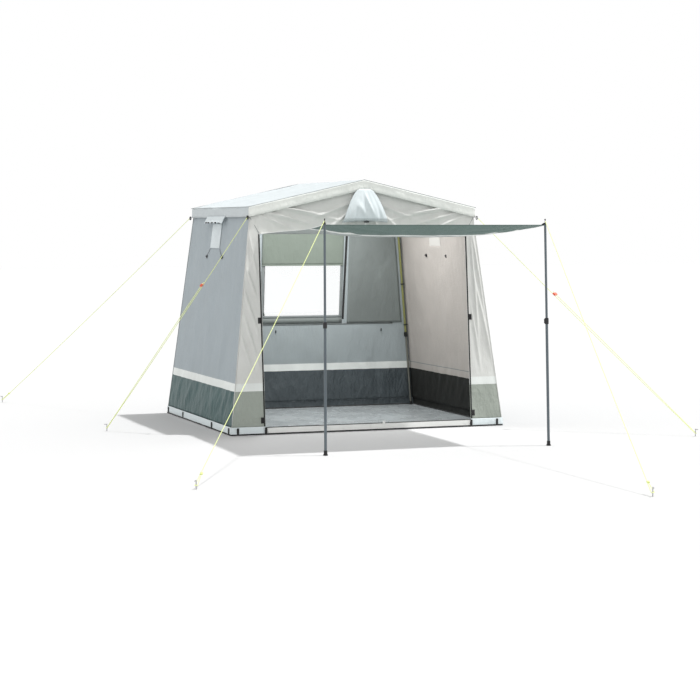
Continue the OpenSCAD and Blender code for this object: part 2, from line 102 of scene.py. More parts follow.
# Outer face of the stiff flap round the foot.
FLAP_X = FOOT_W / 2 + 0.002
FLAP_Y = FOOT_D / 2 + 0.002

# How thick the cloth is, and the lighter cloth of tapes and flaps.
CLOTH_T = 0.0016
THIN_T = 0.0012

# A guy line, the loop it makes round its peg, and how far its strands lie from the peg's middle.
ROPE_D = 0.005
LOOP_R = 0.010
LOOP_Z = 0.025
STRAND_OFF = 0.007


def half_w(z):
    return FOOT_W / 2 - LEAN_X * z


def half_d(z):
    return FOOT_D / 2 - LEAN_Y * z


def roof_z(x):
    return RIDGE_H - abs(x) * ROOF_FALL


UP = Vector((0, 0, 1))
# Outward normals of the leaning walls: the end walls, front and back, and the side walls.
END_OUT = {side: Vector((0, side, LEAN_Y)).normalized() for side in SIDES}
SIDE_OUT = {side: Vector((side, 0, LEAN_X)).normalized() for side in SIDES}


# ---- Camera ----


def make_camera():
    right = Vector((0.94202, -0.33555, 0))
    forward = Vector((0.33555, 0.94202, 0))
    data = bpy.data.cameras.new("camera")
    data.lens = 96.04
    data.sensor_width = 36
    data.clip_end = 200
    camera = bpy.data.objects.new("camera", data)
    camera.location = (-5.7044, -16.0143, 1.751)
    aim = forward + 0.01095 * right - 0.06596 * UP
    camera.rotation_euler = aim.to_track_quat("-Z", "Y").to_euler()
    bpy.context.scene.collection.objects.link(camera)
    bpy.context.scene.camera = camera


make_camera()

# ---- Materials ----


def linear(colour):
    """A display colour of 0 to 255 a channel as the linear colour that shaders take."""
    out = []
    for c in colour:
        c = c / 255
        out.append(c / 12.92 if c <= 0.04045 else ((c + 0.055) / 1.055) ** 2.4)
    return (*out, 1)


def scaled(colour, by):
    return (*(min(1, c * by) for c in colour[:3]), 1)


class Shader:
    """A new node material with short ways to add and link its nodes."""

    def __init__(self, name, colour=(0, 0, 0)):
        self.material = bpy.data.materials.new(name)
        self.material.use_nodes = True
        self.nodes = self.material.node_tree.nodes
        self.links = self.material.node_tree.links
        self.surface = self.nodes["Principled BSDF"]
        self.base = linear(colour)

    def add(self, kind, **inputs):
        node = self.nodes.new(kind)
        for key, value in inputs.items():
            self.put(node, key.replace("_", " "), value)
        return node

    def put(self, node, socket, value):
        if isinstance(value, bpy.types.NodeSocket):
            self.links.new(value, node.inputs[socket])
        else:
            node.inputs[socket].default_value = value

    def set(self, **inputs):
        """Sets the surface's inputs, and returns the material."""
        for key, value in inputs.items():
            self.put(self.surface, key.replace("_", " "), value)
        return self.material

    def place(self, output, scale):
        where = self.add("ShaderNodeTexCoord").outputs[output]
        return self.add("ShaderNodeMapping", Vector=where, Scale=scale).outputs["Vector"]

    def uv(self, across=1, along=1):
        return self.place("UV", (across, along, 1))

    def space(self, x=1, y=1, z=1):
        return self.place("Object", (x, y, z))

    def noise(self, where, scale, detail=3, rough=0.5):
        node = self.add(
            "ShaderNodeTexNoise", Vector=where, Scale=scale, Detail=detail, Roughness=rough
        )
        return node.outputs["Fac"]

    def ramp(self, value, low, high, start=0.3, end=0.7):
        """From low to high, which are numbers or colours, as the value goes from start to end."""
        node = self.add("ShaderNodeValToRGB", Fac=value)
        for element, at, tone in zip(node.color_ramp.elements, (start, end), (low, high)):
            element.position = at
            element.color = tone if hasattr(tone, "__len__") else (tone,) * 3 + (1,)
        return node.outputs["Color"]

    def tone(self, value, dark, bright, start=0.3, end=0.7):
        """The base colour, darker and brighter by these factors as the value changes."""
        return self.ramp(value, scaled(self.base, dark), scaled(self.base, bright), start, end)

    def sum(self, a, b, by=1.0):
        node = self.add("ShaderNodeMath")
        node.operation = "MULTIPLY_ADD"
        self.put(node, 0, b)
        node.inputs[1].default_value = by
        self.put(node, 2, a)
        return node.outputs[0]

    def bump(self, height, distance, **inputs):
        node = self.add("ShaderNodeBump", Height=height, Distance=distance, **inputs)
        return node.outputs["Normal"]


def weave(shader, where, pitch):
    """Crossed threads as a height from 0 to 1."""
    threads = []
    for direction in ("X", "Y"):
        wave = shader.add("ShaderNodeTexWave", Vector=where, Scale=0.314 / pitch)
        wave.bands_direction = direction
        threads.append(wave.outputs["Fac"])
    return shader.sum(threads[0], threads[1])


def cloth(name, colour, rough=0.72, crease=0.012, glow=0.0, sheen=0.1):
    """Coated woven cloth: threads, soft packing creases and uneven dye. UVs are in metres."""
    shader = Shader(name, colour)
    where = shader.uv()
    patchy = shader.noise(where, 3.5, 5, 0.6)
    dyed = shader.tone(patchy, 0.95, 1.05)
    creased = shader.noise(shader.uv(1, 0.45), 9, 4, 0.55)
    soft = shader.bump(shader.sum(creased, shader.noise(where, 60, 2), 0.06), crease)
    threads = shader.bump(weave(shader, where, 0.0012), 0.00012, Normal=soft)
    worn = shader.ramp(patchy, rough - 0.06, rough + 0.06)
    shader.set(Base_Color=dyed, Roughness=worn, Normal=threads, Sheen_Weight=sheen)
    if glow:
        through = shader.add("ShaderNodeBsdfTranslucent", Color=dyed)
        mix = shader.add("ShaderNodeMixShader", Fac=glow)
        shader.put(mix, 1, shader.surface.outputs[0])
        shader.put(mix, 2, through.outputs[0])
        shader.put(shader.nodes["Material Output"], "Surface", mix.outputs[0])
    return shader.material


def webbing(name, colour):
    """Narrow woven tape with ribs across it."""
    shader = Shader(name, colour)
    where = shader.space()
    ribs = shader.bump(weave(shader, where, 0.0022), 0.0003)
    dyed = shader.tone(shader.noise(where, 40, 3), 0.8, 1.25)
    return shader.set(Base_Color=dyed, Roughness=0.82, Normal=ribs, Sheen_Weight=0.2)


def moulded(name, colour, rough=0.42, grain=0.0002):
    """Moulded plastic or rubber with a fine grain and slightly uneven gloss."""
    shader = Shader(name, colour)
    where = shader.space()
    patchy = shader.noise(where, 25, 4)
    tone = shader.tone(patchy, 0.88, 1.14)
    gloss = shader.ramp(patchy, rough - 0.07, rough + 0.07)
    pits = shader.bump(shader.noise(where, 900, 2), grain)
    return shader.set(Base_Color=tone, Roughness=gloss, Normal=pits)


def coated_tube(name, colour):
    """Powder-coated steel with orange peel and faint rubbed streaks along the tube."""
    shader = Shader(name, colour)
    streaks = shader.noise(shader.space(60, 60, 3), 1, 4, 0.6)
    tone = shader.tone(streaks, 0.85, 1.2, end=0.72)
    gloss = shader.ramp(streaks, 0.32, 0.48)
    peel = shader.bump(shader.noise(shader.space(), 700, 2), 0.0001)
    return shader.set(
        Base_Color=tone, Roughness=gloss, Metallic=0.35, Normal=peel, Coat_Weight=0.25
    )


def bare_steel(name):
    """Drawn steel with bright and dull streaks along it."""
    shader = Shader(name)
    streaks = shader.noise(shader.space(300, 300, 8), 1, 4)
    tone = shader.ramp(streaks, (0.32, 0.32, 0.33, 1), (0.56, 0.56, 0.58, 1))
    gloss = shader.ramp(streaks, 0.28, 0.45)
    lines = shader.bump(streaks, 0.0001)
    return shader.set(Base_Color=tone, Roughness=gloss, Metallic=1.0, Normal=lines)


def braided(name, colour):
    """Braided cord. U runs along the cord in metres, V round it."""
    shader = Shader(name, colour)
    strands = []
    for slant in (0.7, -0.7):
        turned = shader.add(
            "ShaderNodeMapping", Vector=shader.uv(1, 0.016), Rotation=(0, 0, slant)
        )
        wave = shader.add("ShaderNodeTexWave", Vector=turned.outputs["Vector"], Scale=120)
        strands.append(wave.outputs["Fac"])
    plait = shader.sum(*strands)
    # Darker where the plait is low: painted shade in the grooves between strands.
    tone = shader.tone(plait, 0.82, 1.1, 0.2, 1.0)
    ridges = shader.bump(plait, 0.0004)
    return shader.set(Base_Color=tone, Roughness=0.7, Normal=ridges, Sheen_Weight=0.15)


def clear_film(name):
    """Soft clear sheet with faint waves in it."""
    shader = Shader(name)
    waves = shader.noise(shader.uv(), 5, 3)
    return shader.set(
        Base_Color=(0.97, 0.985, 0.985, 1), Roughness=shader.ramp(waves, 0.02, 0.09),
        Normal=shader.bump(waves, 0.002), Transmission_Weight=1.0, IOR=1.25,
    )


def glossy_sheet(name, colour):
    """Welded plastic floor sheet with pressed-in folds."""
    shader = Shader(name, colour)
    where = shader.uv()
    patchy = shader.noise(where, 2.5, 5, 0.6)
    dimples = shader.sum(shader.noise(where, 14, 4, 0.6), weave(shader, where, 0.004), 0.02)
    return shader.set(
        Base_Color=shader.tone(patchy, 0.9, 1.1), Roughness=shader.ramp(patchy, 0.2, 0.34),
        Normal=shader.bump(dimples, 0.010),
    )


def netting(name, colour):
    """Fine insect net, as a dense pale cloth with its threads raised."""
    shader = Shader(name, colour)
    threads = weave(shader, shader.uv(), 0.0016)
    # Much darker where the weave is low: painted shade in the gaps between the threads.
    tone = shader.tone(threads, 0.55, 1.15, 0.35, 1.0)
    return shader.set(Base_Color=tone, Roughness=0.8, Normal=shader.bump(threads, 0.0003))


WALL = cloth("wall_grey", (162, 172, 177), glow=0.08)
WALL_DARK = cloth("wall_dark_band", (56, 86, 86), rough=0.48, crease=0.036, sheen=0)
STRIPE = cloth("white_stripe", (226, 230, 227), crease=0.008)
# The wall cloth made lighter for the front: painted sunlight on the front.
FRONT_PAINTED_SUN = cloth("front_grey_painted_sun", (217, 218, 214), glow=0.08)
FRONT_BAND = cloth("front_band", (154, 161, 152), rough=0.55, crease=0.036)
LINING = cloth("inner_grey", (163, 172, 174), glow=0.15)
LINING_DARK = cloth("inner_dark_band", (72, 80, 84), rough=0.36, crease=0.040)
# The back wall's lining made warmer and lighter for the side walls: painted warm light.
SIDE_LINING_PAINTED_WARM_LIGHT = cloth("side_inner_grey_painted_warm_light", (178, 172, 166), glow=0.15)
# The inner dark band made far darker for the side walls: painted shade.
SIDE_LINING_DARK_PAINTED_SHADE = cloth("side_inner_dark_band_painted_shade", (14, 16, 12), rough=0.9, sheen=0)
ROOF = cloth("roof_pale", (193, 200, 202), glow=0.1, crease=0.020)
HEM_CLOTH = cloth("hem_pale", (190, 197, 199), crease=0.028)
# The hem cloth made lighter for the front face: painted sunlight.
HEM_FRONT_PAINTED_SUN = cloth("hem_front_pale_painted_sun", (232, 234, 229), crease=0.028)
FLAP = cloth("mud_flap_pale", (220, 229, 231), crease=0.020)
SILL = cloth("sill_white", (232, 233, 230), crease=0.008)
CANOPY = cloth("canopy_pale", (168, 176, 174), glow=0.15)
CANOPY_DARK = cloth("canopy_dark", (84, 108, 102))
BLIND = cloth("blind_sage", (146, 156, 146), glow=0.45)
COVER = cloth("cover_grey", (124, 131, 129), glow=0.2)
VENT = cloth("vent_pale", (226, 234, 236), glow=0.15)
TRIM = cloth("trim_grey", (120, 126, 126), crease=0.004)
PIPING = cloth("piping_grey", (150, 156, 156), crease=0.004)
NET = netting("insect_net", (236, 234, 228))
BLACK_TAPE = webbing("black_tape", (22, 22, 23))
BLACK_CLOTH = cloth("black_edge", (26, 27, 28), crease=0.004)
BLACK_PLASTIC = moulded("black_plastic", (24, 24, 26))
BLACK_RUBBER = moulded("black_rubber", (28, 28, 29), rough=0.7, grain=0.0005)
BLACK_METAL = moulded("black_enamel", (20, 20, 22), rough=0.3, grain=0.0001)
FRAME_STEEL = coated_tube("frame_steel", (112, 112, 104))
FRAME_OLIVE = coated_tube("frame_olive", (128, 130, 78))
POLE_STEEL = coated_tube("pole_steel", (86, 96, 102))
PEG_STEEL = bare_steel("peg_steel")
CORD = braided("guy_cord", (230, 240, 162))
RUNNER = moulded("runner_orange", (228, 92, 60), rough=0.35)
FILM = clear_film("clear_film")
GROUND = glossy_sheet("groundsheet_grey", (170, 176, 178))

# ---- Mesh helpers ----


def spread(stops, counts):
    """Values from stop to stop, with a fixed count of steps between each two."""
    values = [stops[0]]
    for low, high, count in zip(stops, stops[1:], counts):
        values += [low + (high - low) * i / count for i in range(1, count + 1)]
    return values


def ladder(stops, step):
    """Values from stop to stop, none further apart than about one step."""
    return spread(stops, [max(1, round((b - a) / step)) for a, b in zip(stops, stops[1:])])


def smooth(low, high, value):
    t = min(1, max(0, (value - low) / (high - low)))
    return t * t * (3 - 2 * t)


def rumple(a, b, size, seed=0.0):
    return noise.noise(Vector((a / size, b / size, seed)))


def fold(a, b, start, end, width, height):
    """A soft fold along the line from start to end, which dies away at both of its ends."""
    da = end[0] - start[0]
    db = end[1] - start[1]
    t = ((a - start[0]) * da + (b - start[1]) * db) / (da * da + db * db)
    t = min(1, max(0, t))
    away = math.hypot(a - start[0] - t * da, b - start[1] - t * db)
    return height * math.sin(math.pi * (0.04 + 0.92 * t)) * math.exp(-((away / width) ** 2))


def grid_faces(rows, width, around=False, closed=False):
    """Faces over points held row by row. Around joins the two sides, closed the two ends."""
    faces = []
    for j in range(rows if closed else rows - 1):
        here = j * width
        after = (j + 1) % rows * width
        for i in range(width if around else width - 1):
            k = (i + 1) % width
            faces.append((here + i, here + k, after + k, after + i))
    return faces


def new_object(name, points, faces, uvs, materials, indices=None):
    mesh = bpy.data.meshes.new(name)
    mesh.from_pydata([tuple(p) for p in points], [], faces)
    layer = mesh.uv_layers.new(name="UVMap")
    for loop in mesh.loops:
        layer.data[loop.index].uv = uvs[loop.vertex_index]
    for material in materials:
        mesh.materials.append(material)
    for polygon in mesh.polygons:
        polygon.use_smooth = True
        if indices:
            polygon.material_index = indices[polygon.index]
    obj = bpy.data.objects.new(name, mesh)
    bpy.context.scene.collection.objects.link(obj)
    return obj


def thicken(obj, thick, offset=-1, inner=0):
    """Gives a sheet its thickness. Inner is how far on in the materials its back face's are."""
    solid = obj.modifiers.new("thickness", "SOLIDIFY")
    solid.thickness = thick
    solid.offset = offset
    solid.material_offset = inner


def sew(obj, slot, *nodes, thick, offset=-1, inner=0, body="tent"):
    """Thickens a sheet and puts it on its body, in place of the CAD nodes it stands for."""
    thicken(obj, thick, offset, inner)
    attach(obj, body)
    if nodes:
        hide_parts(*nodes)


def panel(name, rows, columns, place, materials, band=None, hole=None, uv=None):
    """A sheet over a grid. Columns is a list, or gives one for each row. Place gives the point
    and outward normal for each a and b."""
    at_row = columns if callable(columns) else lambda b: columns
    points = []
    uvs = []
    normals = []
    for b in rows:
        for a in at_row(b):
            point, normal = place(a, b)
            points.append(point)
            normals.append(normal)
            uvs.append(uv(a, b) if uv else (a, b))
    width = len(points) // len(rows)
    faces = []
    indices = []
    for j in range(len(rows) - 1):
        middle_b = (rows[j] + rows[j + 1]) / 2
        line = at_row(middle_b)
        for i in range(width - 1):
            middle_a = (line[i] + line[i + 1]) / 2
            if hole and hole(middle_a, middle_b):
                continue
            k = j * width + i
            faces.append((k, k + 1, k + 1 + width, k + width))
            indices.append(band(middle_a, middle_b) if band else 0)
    k = faces[0]
    facing = (points[k[1]] - points[k[0]]).cross(points[k[3]] - points[k[0]])
    if facing.dot(normals[k[0]]) < 0:
        faces = [tuple(reversed(f)) for f in faces]
    return new_object(name, points, faces, uvs, materials, indices)


def tube(name, path, radius, material, sides=8, body="tent"):
    """A round tube swept along a path of points. U runs along it in metres."""
    points = []
    uvs = []
    side = None
    run = 0.0
    for i, at in enumerate(path):
        ahead = (path[min(i + 1, len(path) - 1)] - path[max(i - 1, 0)]).normalized()
        if side is None:
            side = ahead.cross(Vector((0.3, 0.2, 1))).normalized()
        side = (side - ahead * side.dot(ahead)).normalized()
        up = ahead.cross(side)
        run += (at - path[i - 1]).length if i else 0
        for k in range(sides):
            turn = 2 * math.pi * k / sides
            points.append(at + radius * (math.cos(turn) * side + math.sin(turn) * up))
            uvs.append((run, k / sides))
    faces = grid_faces(len(path), sides, around=True)
    last = (len(path) - 1) * sides
    faces.append(tuple(reversed(range(sides))))
    faces.append(tuple(range(last, last + sides)))
    obj = new_object(name, points, faces, uvs, [material])
    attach(obj, body)
    return obj


def keep_node(name, material):
    """A CAD node that stays in view, with a better material."""
    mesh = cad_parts[name].data
    mesh.materials.clear()
    mesh.materials.append(material)


# ---- Guy lines ----

ROPES = {
    "front_left": ((-1.064, -0.914, 1.826), (-2.14, -0.30), 0.69),
    "front_right": ((1.064, -0.914, 1.826), (2.40, -2.40), 0.98),
    "back_left": ((-1.064, 0.914, 1.826), (-2.53, 2.66), None),
    "canopy_left": ((-0.9394, -2.5169, 1.795), (-2.38, -4.02), None),
    "canopy_right": ((0.9334, -2.5187, 1.795), (0.32, -5.37), None),
}
# How far up from the peg a knot sits, how far apart the strands are at a runner and at a knot, and
# how far the knot's turns stand out to the side and to the front.
KNOT_BACK = 0.12
STRAND_GAP = 0.024
KNOT_GAP = 0.0065
KNOT_WIDE = 0.0085
KNOT_DEEP = 0.0062


def rope_frame(top, peg):
    """The peg's hook, the directions across and out from it, and the strand's low end and way."""
    hook = Vector((*peg, LOOP_Z))
    side = (hook - top).cross(UP).normalized()
    out = UP.cross(side)
    low = hook + STRAND_OFF * side
    return hook, side, out, low, (low - top).normalized()


def rope_path(top, peg, back, gap):
    """Down from the tent with a slight sag, round the peg and back up beside itself."""
    hook, side, out, _, down = rope_frame(top, peg)
    start = hook + LOOP_R * side
    steps = 60
    path = []
    for i in range(steps):
        t = i / steps
        sag = 0.012 * 4 * t * (1 - t) * smooth(1.0, 0.8, t)
        path.append(top + (start - top) * t - Vector((0, 0, sag)))
    for i in range(13):
        turn = math.pi * i / 12
        path.append(hook + LOOP_R * (math.cos(turn) * side + math.sin(turn) * out))
    count = max(4, round(back / 0.03))
    for i in range(1, count + 1):
        t = i / count
        wide = min(1, t / 0.75)
        shift = (2 * STRAND_OFF - gap) * wide - (LOOP_R - STRAND_OFF) * (1 - wide)
        path.append(hook - STRAND_OFF * side - back * t * down + shift * side)
    return path


def knot(name, at, down, side):
    """Three turns of cord round both strands."""
    up = down.cross(side)
    path = []
    for i in range(49):
        turn = 2 * math.pi * i / 16
        along = (i / 48 - 0.5) * 3 * ROPE_D * 1.05
        wide = KNOT_WIDE * math.cos(turn) * side
        path.append(at + along * down + wide + KNOT_DEEP * math.sin(turn) * up)
    return tube(name, path, ROPE_D / 2, CORD)


def make_rope(name):
    top, peg, runner_at = ROPES[name]
    top = Vector(top)
    _, side, _, low, down = rope_frame(top, peg)
    whole = (low - top).length
    back = whole - runner_at + 0.03 if runner_at else KNOT_BACK
    path = rope_path(top, peg, back, STRAND_GAP if runner_at else KNOT_GAP)
    rope = tube(f"rope_{name}", path, ROPE_D / 2, CORD)
    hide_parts(f"guy_rope_{name}")
    if runner_at:
        extra = [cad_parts[f"guy_runner_{name}"]]
    else:
        strand = low - (back - 0.012) * down
        extra = [knot(f"knot_{name}", strand - KNOT_GAP / 2 * side, down, side)]
    length = sum((b - a).length for a, b in zip(path, path[1:]))
    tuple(top)
    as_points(path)
    if name.startswith("canopy"):
        for piece in (rope, *extra):
            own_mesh(piece)


for rope_name in ROPES:
    make_rope(rope_name)

# ---- Cloth relief ----


def edge_fade(value, low, high, reach):
    return smooth(low, low + reach, value) * smooth(high, high - reach, value)


def wall_relief(a, z, half, seed):
    """Taut cloth: long shallow waves down the wall, finer puckers under the roof."""
    fade = edge_fade(a, -half, half, 0.09) * edge_fade(z, WALL_FOOT, 1.86, 0.12)
    waves = 0.010 * rumple(a, z * 0.3, 0.34, seed) + 0.004 * rumple(a, z * 0.6, 0.14, seed + 3)
    puckers = 0.007 * rumple(a, z * 0.2, 0.06, seed + 7) * smooth(1.40, 1.85, z)
    slanted = 0.011 * rumple(a + 0.8 * z, (a - z) * 0.25, 0.09, seed + 9) * smooth(0.50, 0.36, z)
    gathers = 0.007 * rumple(a * 0.3 + z * 0.1, z, 0.055, seed + 13) * smooth(1.55, 1.84, z)
    return fade * (waves + puckers + slanted + gathers)


def banded(light, dark):
    """Materials and a rule for cloth with the dark band and the white stripe at its foot."""

    def band(a, z):
        if z < BAND_TOP:
            return 1
        return 2 if z < STRIPE_TOP else 0

    return [light, dark, STRIPE], band


INNER_BANDS = [LINING, LINING_DARK, STRIPE]
WALL_ROWS = ladder((WALL_FOOT, BAND_TOP, SEAM_Z, STRIPE_TOP, *VENT_HOLE, WALL_TOP), 0.018)

# ---- Side walls ----


def side_wall_point(side, y, z, lift):
    """A point off a side wall's outer face, with its outward normal."""
    return Vector((side * half_w(z), y, z)) + lift * SIDE_OUT[side], SIDE_OUT[side]


def side_vent_hole(y, z):
    return VENT_HOLE[0] < z < VENT_HOLE[1] and abs(y - VENT_Y) < VENT_HOLE_HALF


def make_side_wall(side):
    stops = (VENT_Y - VENT_HOLE_HALF, VENT_Y + VENT_HOLE_HALF)

    def columns(z):
        return spread((-half_d(z), *stops, half_d(z)), (54, 14, 48))

    def place(y, z):
        near_vent = math.hypot(max(0, abs(y - VENT_Y) - 0.15), max(0, 1.56 - z))
        lift = wall_relief(y, z, half_d(z), 11 if side < 0 else 23) * smooth(0.0, 0.12, near_vent)
        return side_wall_point(side, y, z, lift)

    materials, foot_band = banded(WALL, WALL_DARK)
    materials.append(STRIPE)
    # Inside, the side walls take their own lining, lighter and warmer with painted warm light, and
    # a far darker band with painted shade.
    inner = [SIDE_LINING_PAINTED_WARM_LIGHT, SIDE_LINING_DARK_PAINTED_SHADE, SIDE_LINING_PAINTED_WARM_LIGHT, TRIM]

    def band(y, z):
        return 3 if SEAM_Z < z < STRIPE_TOP else foot_band(y, z)

    name = f"{ENDS[side]}_wall_cloth"
    wall = panel(name, WALL_ROWS, columns, place, materials + inner, band, side_vent_hole)
    sew(wall, "wall_cloth", f"{ENDS[side]}_wall", thick=CLOTH_T, inner=4)


# ---- Back wall, window and blind ----


def end_point(end, x, z, lift=0.0):
    """A point off the front wall (end -1) or the back one (end 1), with its outward normal."""
    return Vector((x, end * half_d(z), z)) + lift * END_OUT[end], END_OUT[end]


def back_point(x, z, inward=0.0, lift=0.0):
    """A point on the back wall, set into the room by inward, with its outward normal."""
    return end_point(1, x, z, lift - inward)


def make_back_wall():
    x0, x1, z0, z1 = WINDOW
    rows = ladder((WALL_FOOT, BAND_TOP, STRIPE_TOP, z0, z1, WALL_TOP), 0.022)

    def columns(z):
        return spread((-half_w(z), x0, x1, half_w(z)), (36, 34, 32))

    def hole(x, z):
        return x0 < x < x1 and z0 < z < z1

    def place(x, z):
        near = math.hypot(max(0, x0 - x, x - x1), max(0, z0 - z, z - z1))
        seam = math.exp(-(((z - REAR_SEAM_Z) / 0.05) ** 2))
        lift = wall_relief(x, z, half_w(z), 37) * smooth(0, 0.1, near) * (1 - seam)
        return back_point(x, z, lift=lift - 0.0005)

    materials, band = banded(WALL, WALL_DARK)
    wall = panel("back_wall_cloth", rows, columns, place, materials + INNER_BANDS, band, hole)
    sew(wall, "wall_cloth", "back_wall", thick=CLOTH_T, inner=3)


def make_window_trim(name, inward):
    """A sewn border that laps over the edge of the window on one face of the wall."""
    lap = 0.012
    width = 0.028
    x0, x1 = WINDOW[0] + lap, WINDOW[1] - lap
    z0, z1 = WINDOW[2] + lap, WINDOW[3] - lap
    rows = ladder((z0 - width, z0, z1, z1 + width), 0.02)

    def columns(z):
        return spread((x0 - width, x0, x1, x1 + width), (3, 36, 3))

    def hole(x, z):
        return x0 < x < x1 and z0 < z < z1

    def place(x, z):
        seam = 0.0006 * math.sin(90 * (x + z)) + 0.001 * rumple(x, z, 0.07, 5)
        return back_point(x, z, inward, seam)

    border = panel(name, rows, columns, place, [TRIM], hole=hole)
    sew(border, "wall_cloth", thick=0.0015, offset=0)


def make_window():
    make_window_trim("window_trim_inside", 0.0032)
    make_window_trim("window_trim_outside", -0.002)
    x0, x1, z0, z1 = WINDOW
    gap = 0.002
    pane = panel(
        "window_film", ladder((z0 + gap, z1 - gap), 0.05), spread((x0 + gap, x1 - gap), (16,)),
        lambda x, z: back_point(x, z, 0.0015, 0.0012 * rumple(x, z, 0.2, 2)), [FILM],
    )
    sew(pane, "clear_film", "window_pane", thick=0.0005, offset=0)


def make_blind():
    x0, x1 = WINDOW[0] - 0.015, WINDOW[1] + 0.015
    rows = ladder((BLIND_Z + 0.014, 1.712), 0.014)

    def place(x, z):
        hang = smooth(1.71, 1.60, z)
        wave = 0.0022 * math.sin(17 * x + 3 * rumple(x, z, 0.5, 1)) + 0.001 * rumple(x, z, 0.05, 9)
        return back_point(x, z, 0.0095, hang * wave)

    blind = panel("window_blind_cloth", rows, spread((x0, x1), (56,)), place, [BLIND])
    sew(blind, "blind_cloth", "window_blind", thick=0.001, offset=0)
    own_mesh(blind)


def make_rear_cover():
    """The dark panel over the right bay of the back wall."""
    x0, x1 = WINDOW[1] + 0.07, WINDOW[1] + 0.68
    rows = ladder((0.822, 1.708), 0.02)

    def place(x, z):
        free = smooth(x0, x0 + 0.05, x) * smooth(x1, x1 - 0.04, x)
        sag = 0.004 * rumple(x, z * 0.4, 0.12, 41) + 0.002 * rumple(x, z, 0.05, 43)
        creases = fold(x, z, (x0 + 0.03, 1.66), (x1 - 0.12, 1.1), 0.03, 0.003)
        creases += fold(x, z, (x1 - 0.03, 1.6), (x0 + 0.1, 0.95), 0.025, 0.003)
        return back_point(x, z, 0.0085 + free * max(-0.002, sag + creases))

    cover = panel(
        "rear_cover_cloth", rows, lambda z: spread((x0, min(x1, half_w(z) - 0.06)), (28,)),
        place, [COVER],
    )
    sew(cover, "cover_cloth", "rear_cover", thick=THIN_T, offset=0)


def back_strip(name, line, width, inward, material, slot):
    """A narrow sewn strip along a line of (x, z) points on the inside of the back wall."""
    points = []
    uvs = []
    for i, (x, z) in enumerate(line):
        ahead = line[min(i + 1, len(line) - 1)]
        behind = line[max(i - 1, 0)]
        dx, dz = ahead[0] - behind[0], ahead[1] - behind[1]
        size = math.hypot(dx, dz)
        for across in (-width / 2, width / 2):
            px, pz = x - dz / size * across, z + dx / size * across
            points.append(back_point(px, pz, inward)[0])
            uvs.append((px, pz))
    strip = new_object(name, points, grid_faces(len(line), 2), uvs, [material])
    sew(strip, slot, thick=0.001, offset=0)


def make_back_trim():
    x = WINDOW[1] + 0.045
    slit = [(x - 0.02 * (1.7 - z), z) for z in ladder((0.86, 1.71), 0.03)]
    back_strip("rear_zip_tape", slit, 0.022, 0.0030, BLACK_TAPE, "black_webbing")
    seam = [(v, REAR_SEAM_Z) for v in ladder((-0.99, 1.0), 0.05)]
    back_strip("rear_seam_tape", seam, 0.016, 0.0030, TRIM, "wall_cloth")
    foot = (REAR_SEAM_Z + WINDOW[2]) / 2 - 0.004
    below = [(v, foot) for v in ladder((WINDOW[0] - 0.02, WINDOW[1] + 0.02), 0.05)]
    back_strip("window_trim_lower", below, 0.055, 0.0045, COVER, "wall_cloth")


for wall_side in SIDES:
    make_side_wall(wall_side)
make_back_wall()
make_window()
make_blind()
make_rear_cover()
make_back_trim()

# ---- Front panels and gables ----


def front_point(x, z, lift=0.0):
    return end_point(-1, x, z, lift)


def inner_edge(z):
    """Distance from the middle to the front panels' inner edge, which leans out over the door."""
    top = (z - DOOR_H) / (WALL_TOP - DOOR_H)
    return DOOR_HALF + max(0, top) * (half_w(WALL_TOP) - DOOR_HALF - 0.004)


# Folds of each front panel, as start, end, width and height.
FRONT_FOLDS = {
    -1: (
        ((1.06, 1.78), (0.975, 1.30), 0.011, 0.013),
        ((1.09, 1.45), (0.980, 1.12), 0.011, 0.016),
        ((1.13, 1.30), (0.970, 0.80), 0.012, 0.018),
        ((1.12, 1.05), (0.970, 0.52), 0.012, 0.018),
        ((1.16, 0.90), (1.03, 0.48), 0.012, 0.013),
    ),
    1: (
        ((1.00, 1.80), (1.13, 0.90), 0.012, 0.015),
        ((1.00, 1.72), (1.05, 0.60), 0.011, 0.013),
        ((1.02, 1.30), (1.19, 0.50), 0.012, 0.015),
        ((0.98, 1.10), (1.06, 0.45), 0.011, 0.011),
    ),
}


def make_front_panel(side):
    rows = ladder((WALL_FOOT, BAND_TOP, STRIPE_TOP, DOOR_H, WALL_TOP - 0.003), 0.012)

    def columns(z):
        near, far = inner_edge(z), half_w(z)
        return [side * v for v in spread((near, far), (32,))]

    def place(x, z):
        fade = smooth(0.962, 0.99, abs(x)) * smooth(half_w(z), half_w(z) - 0.03, abs(x))
        fade *= edge_fade(z, WALL_FOOT, 1.88, 0.08)
        lift = 0.007 * rumple(x, z * 0.3, 0.10, 51 + side)
        for start, end, width, height in FRONT_FOLDS[side]:
            lift += fold(abs(x), z, start, end, width, height)
        return front_point(x, z, fade * lift)

    # The front panels' light cloth carries painted sunlight.
    materials, band = banded(FRONT_PAINTED_SUN, FRONT_BAND)
    name = f"front_{ENDS[side]}_cloth"
    front = panel(name, rows, columns, place, materials + INNER_BANDS, band)
    sew(front, "front_cloth", f"front_{ENDS[side]}_panel", thick=CLOTH_T, inner=3)


def gable_edges(x):
    """Lowest and highest point of a gable at x."""
    bottom = DOOR_H
    if abs(x) > DOOR_HALF:
        lean = (abs(x) - DOOR_HALF) / (half_w(WALL_TOP) - DOOR_HALF - 0.004)
        bottom = DOOR_H + lean * (WALL_TOP - DOOR_H)
    return bottom, roof_z(x) - 0.008


def gable_hole(x, z):
    return abs(x) < 0.12 * (2.06 - z) / 0.125 and 1.935 < z


# Folds of one half of the gable, as start, end, width and height.
GABLE_FOLDS = (
    ((0.97, 1.90), (0.42, 1.76), 0.014, 0.024),
    ((0.96, 1.86), (0.60, 1.71), 0.013, 0.020),
    ((0.95, 1.93), (0.30, 1.86), 0.015, 0.020),
    ((0.90, 1.95), (0.18, 1.80), 0.012, 0.018),
)


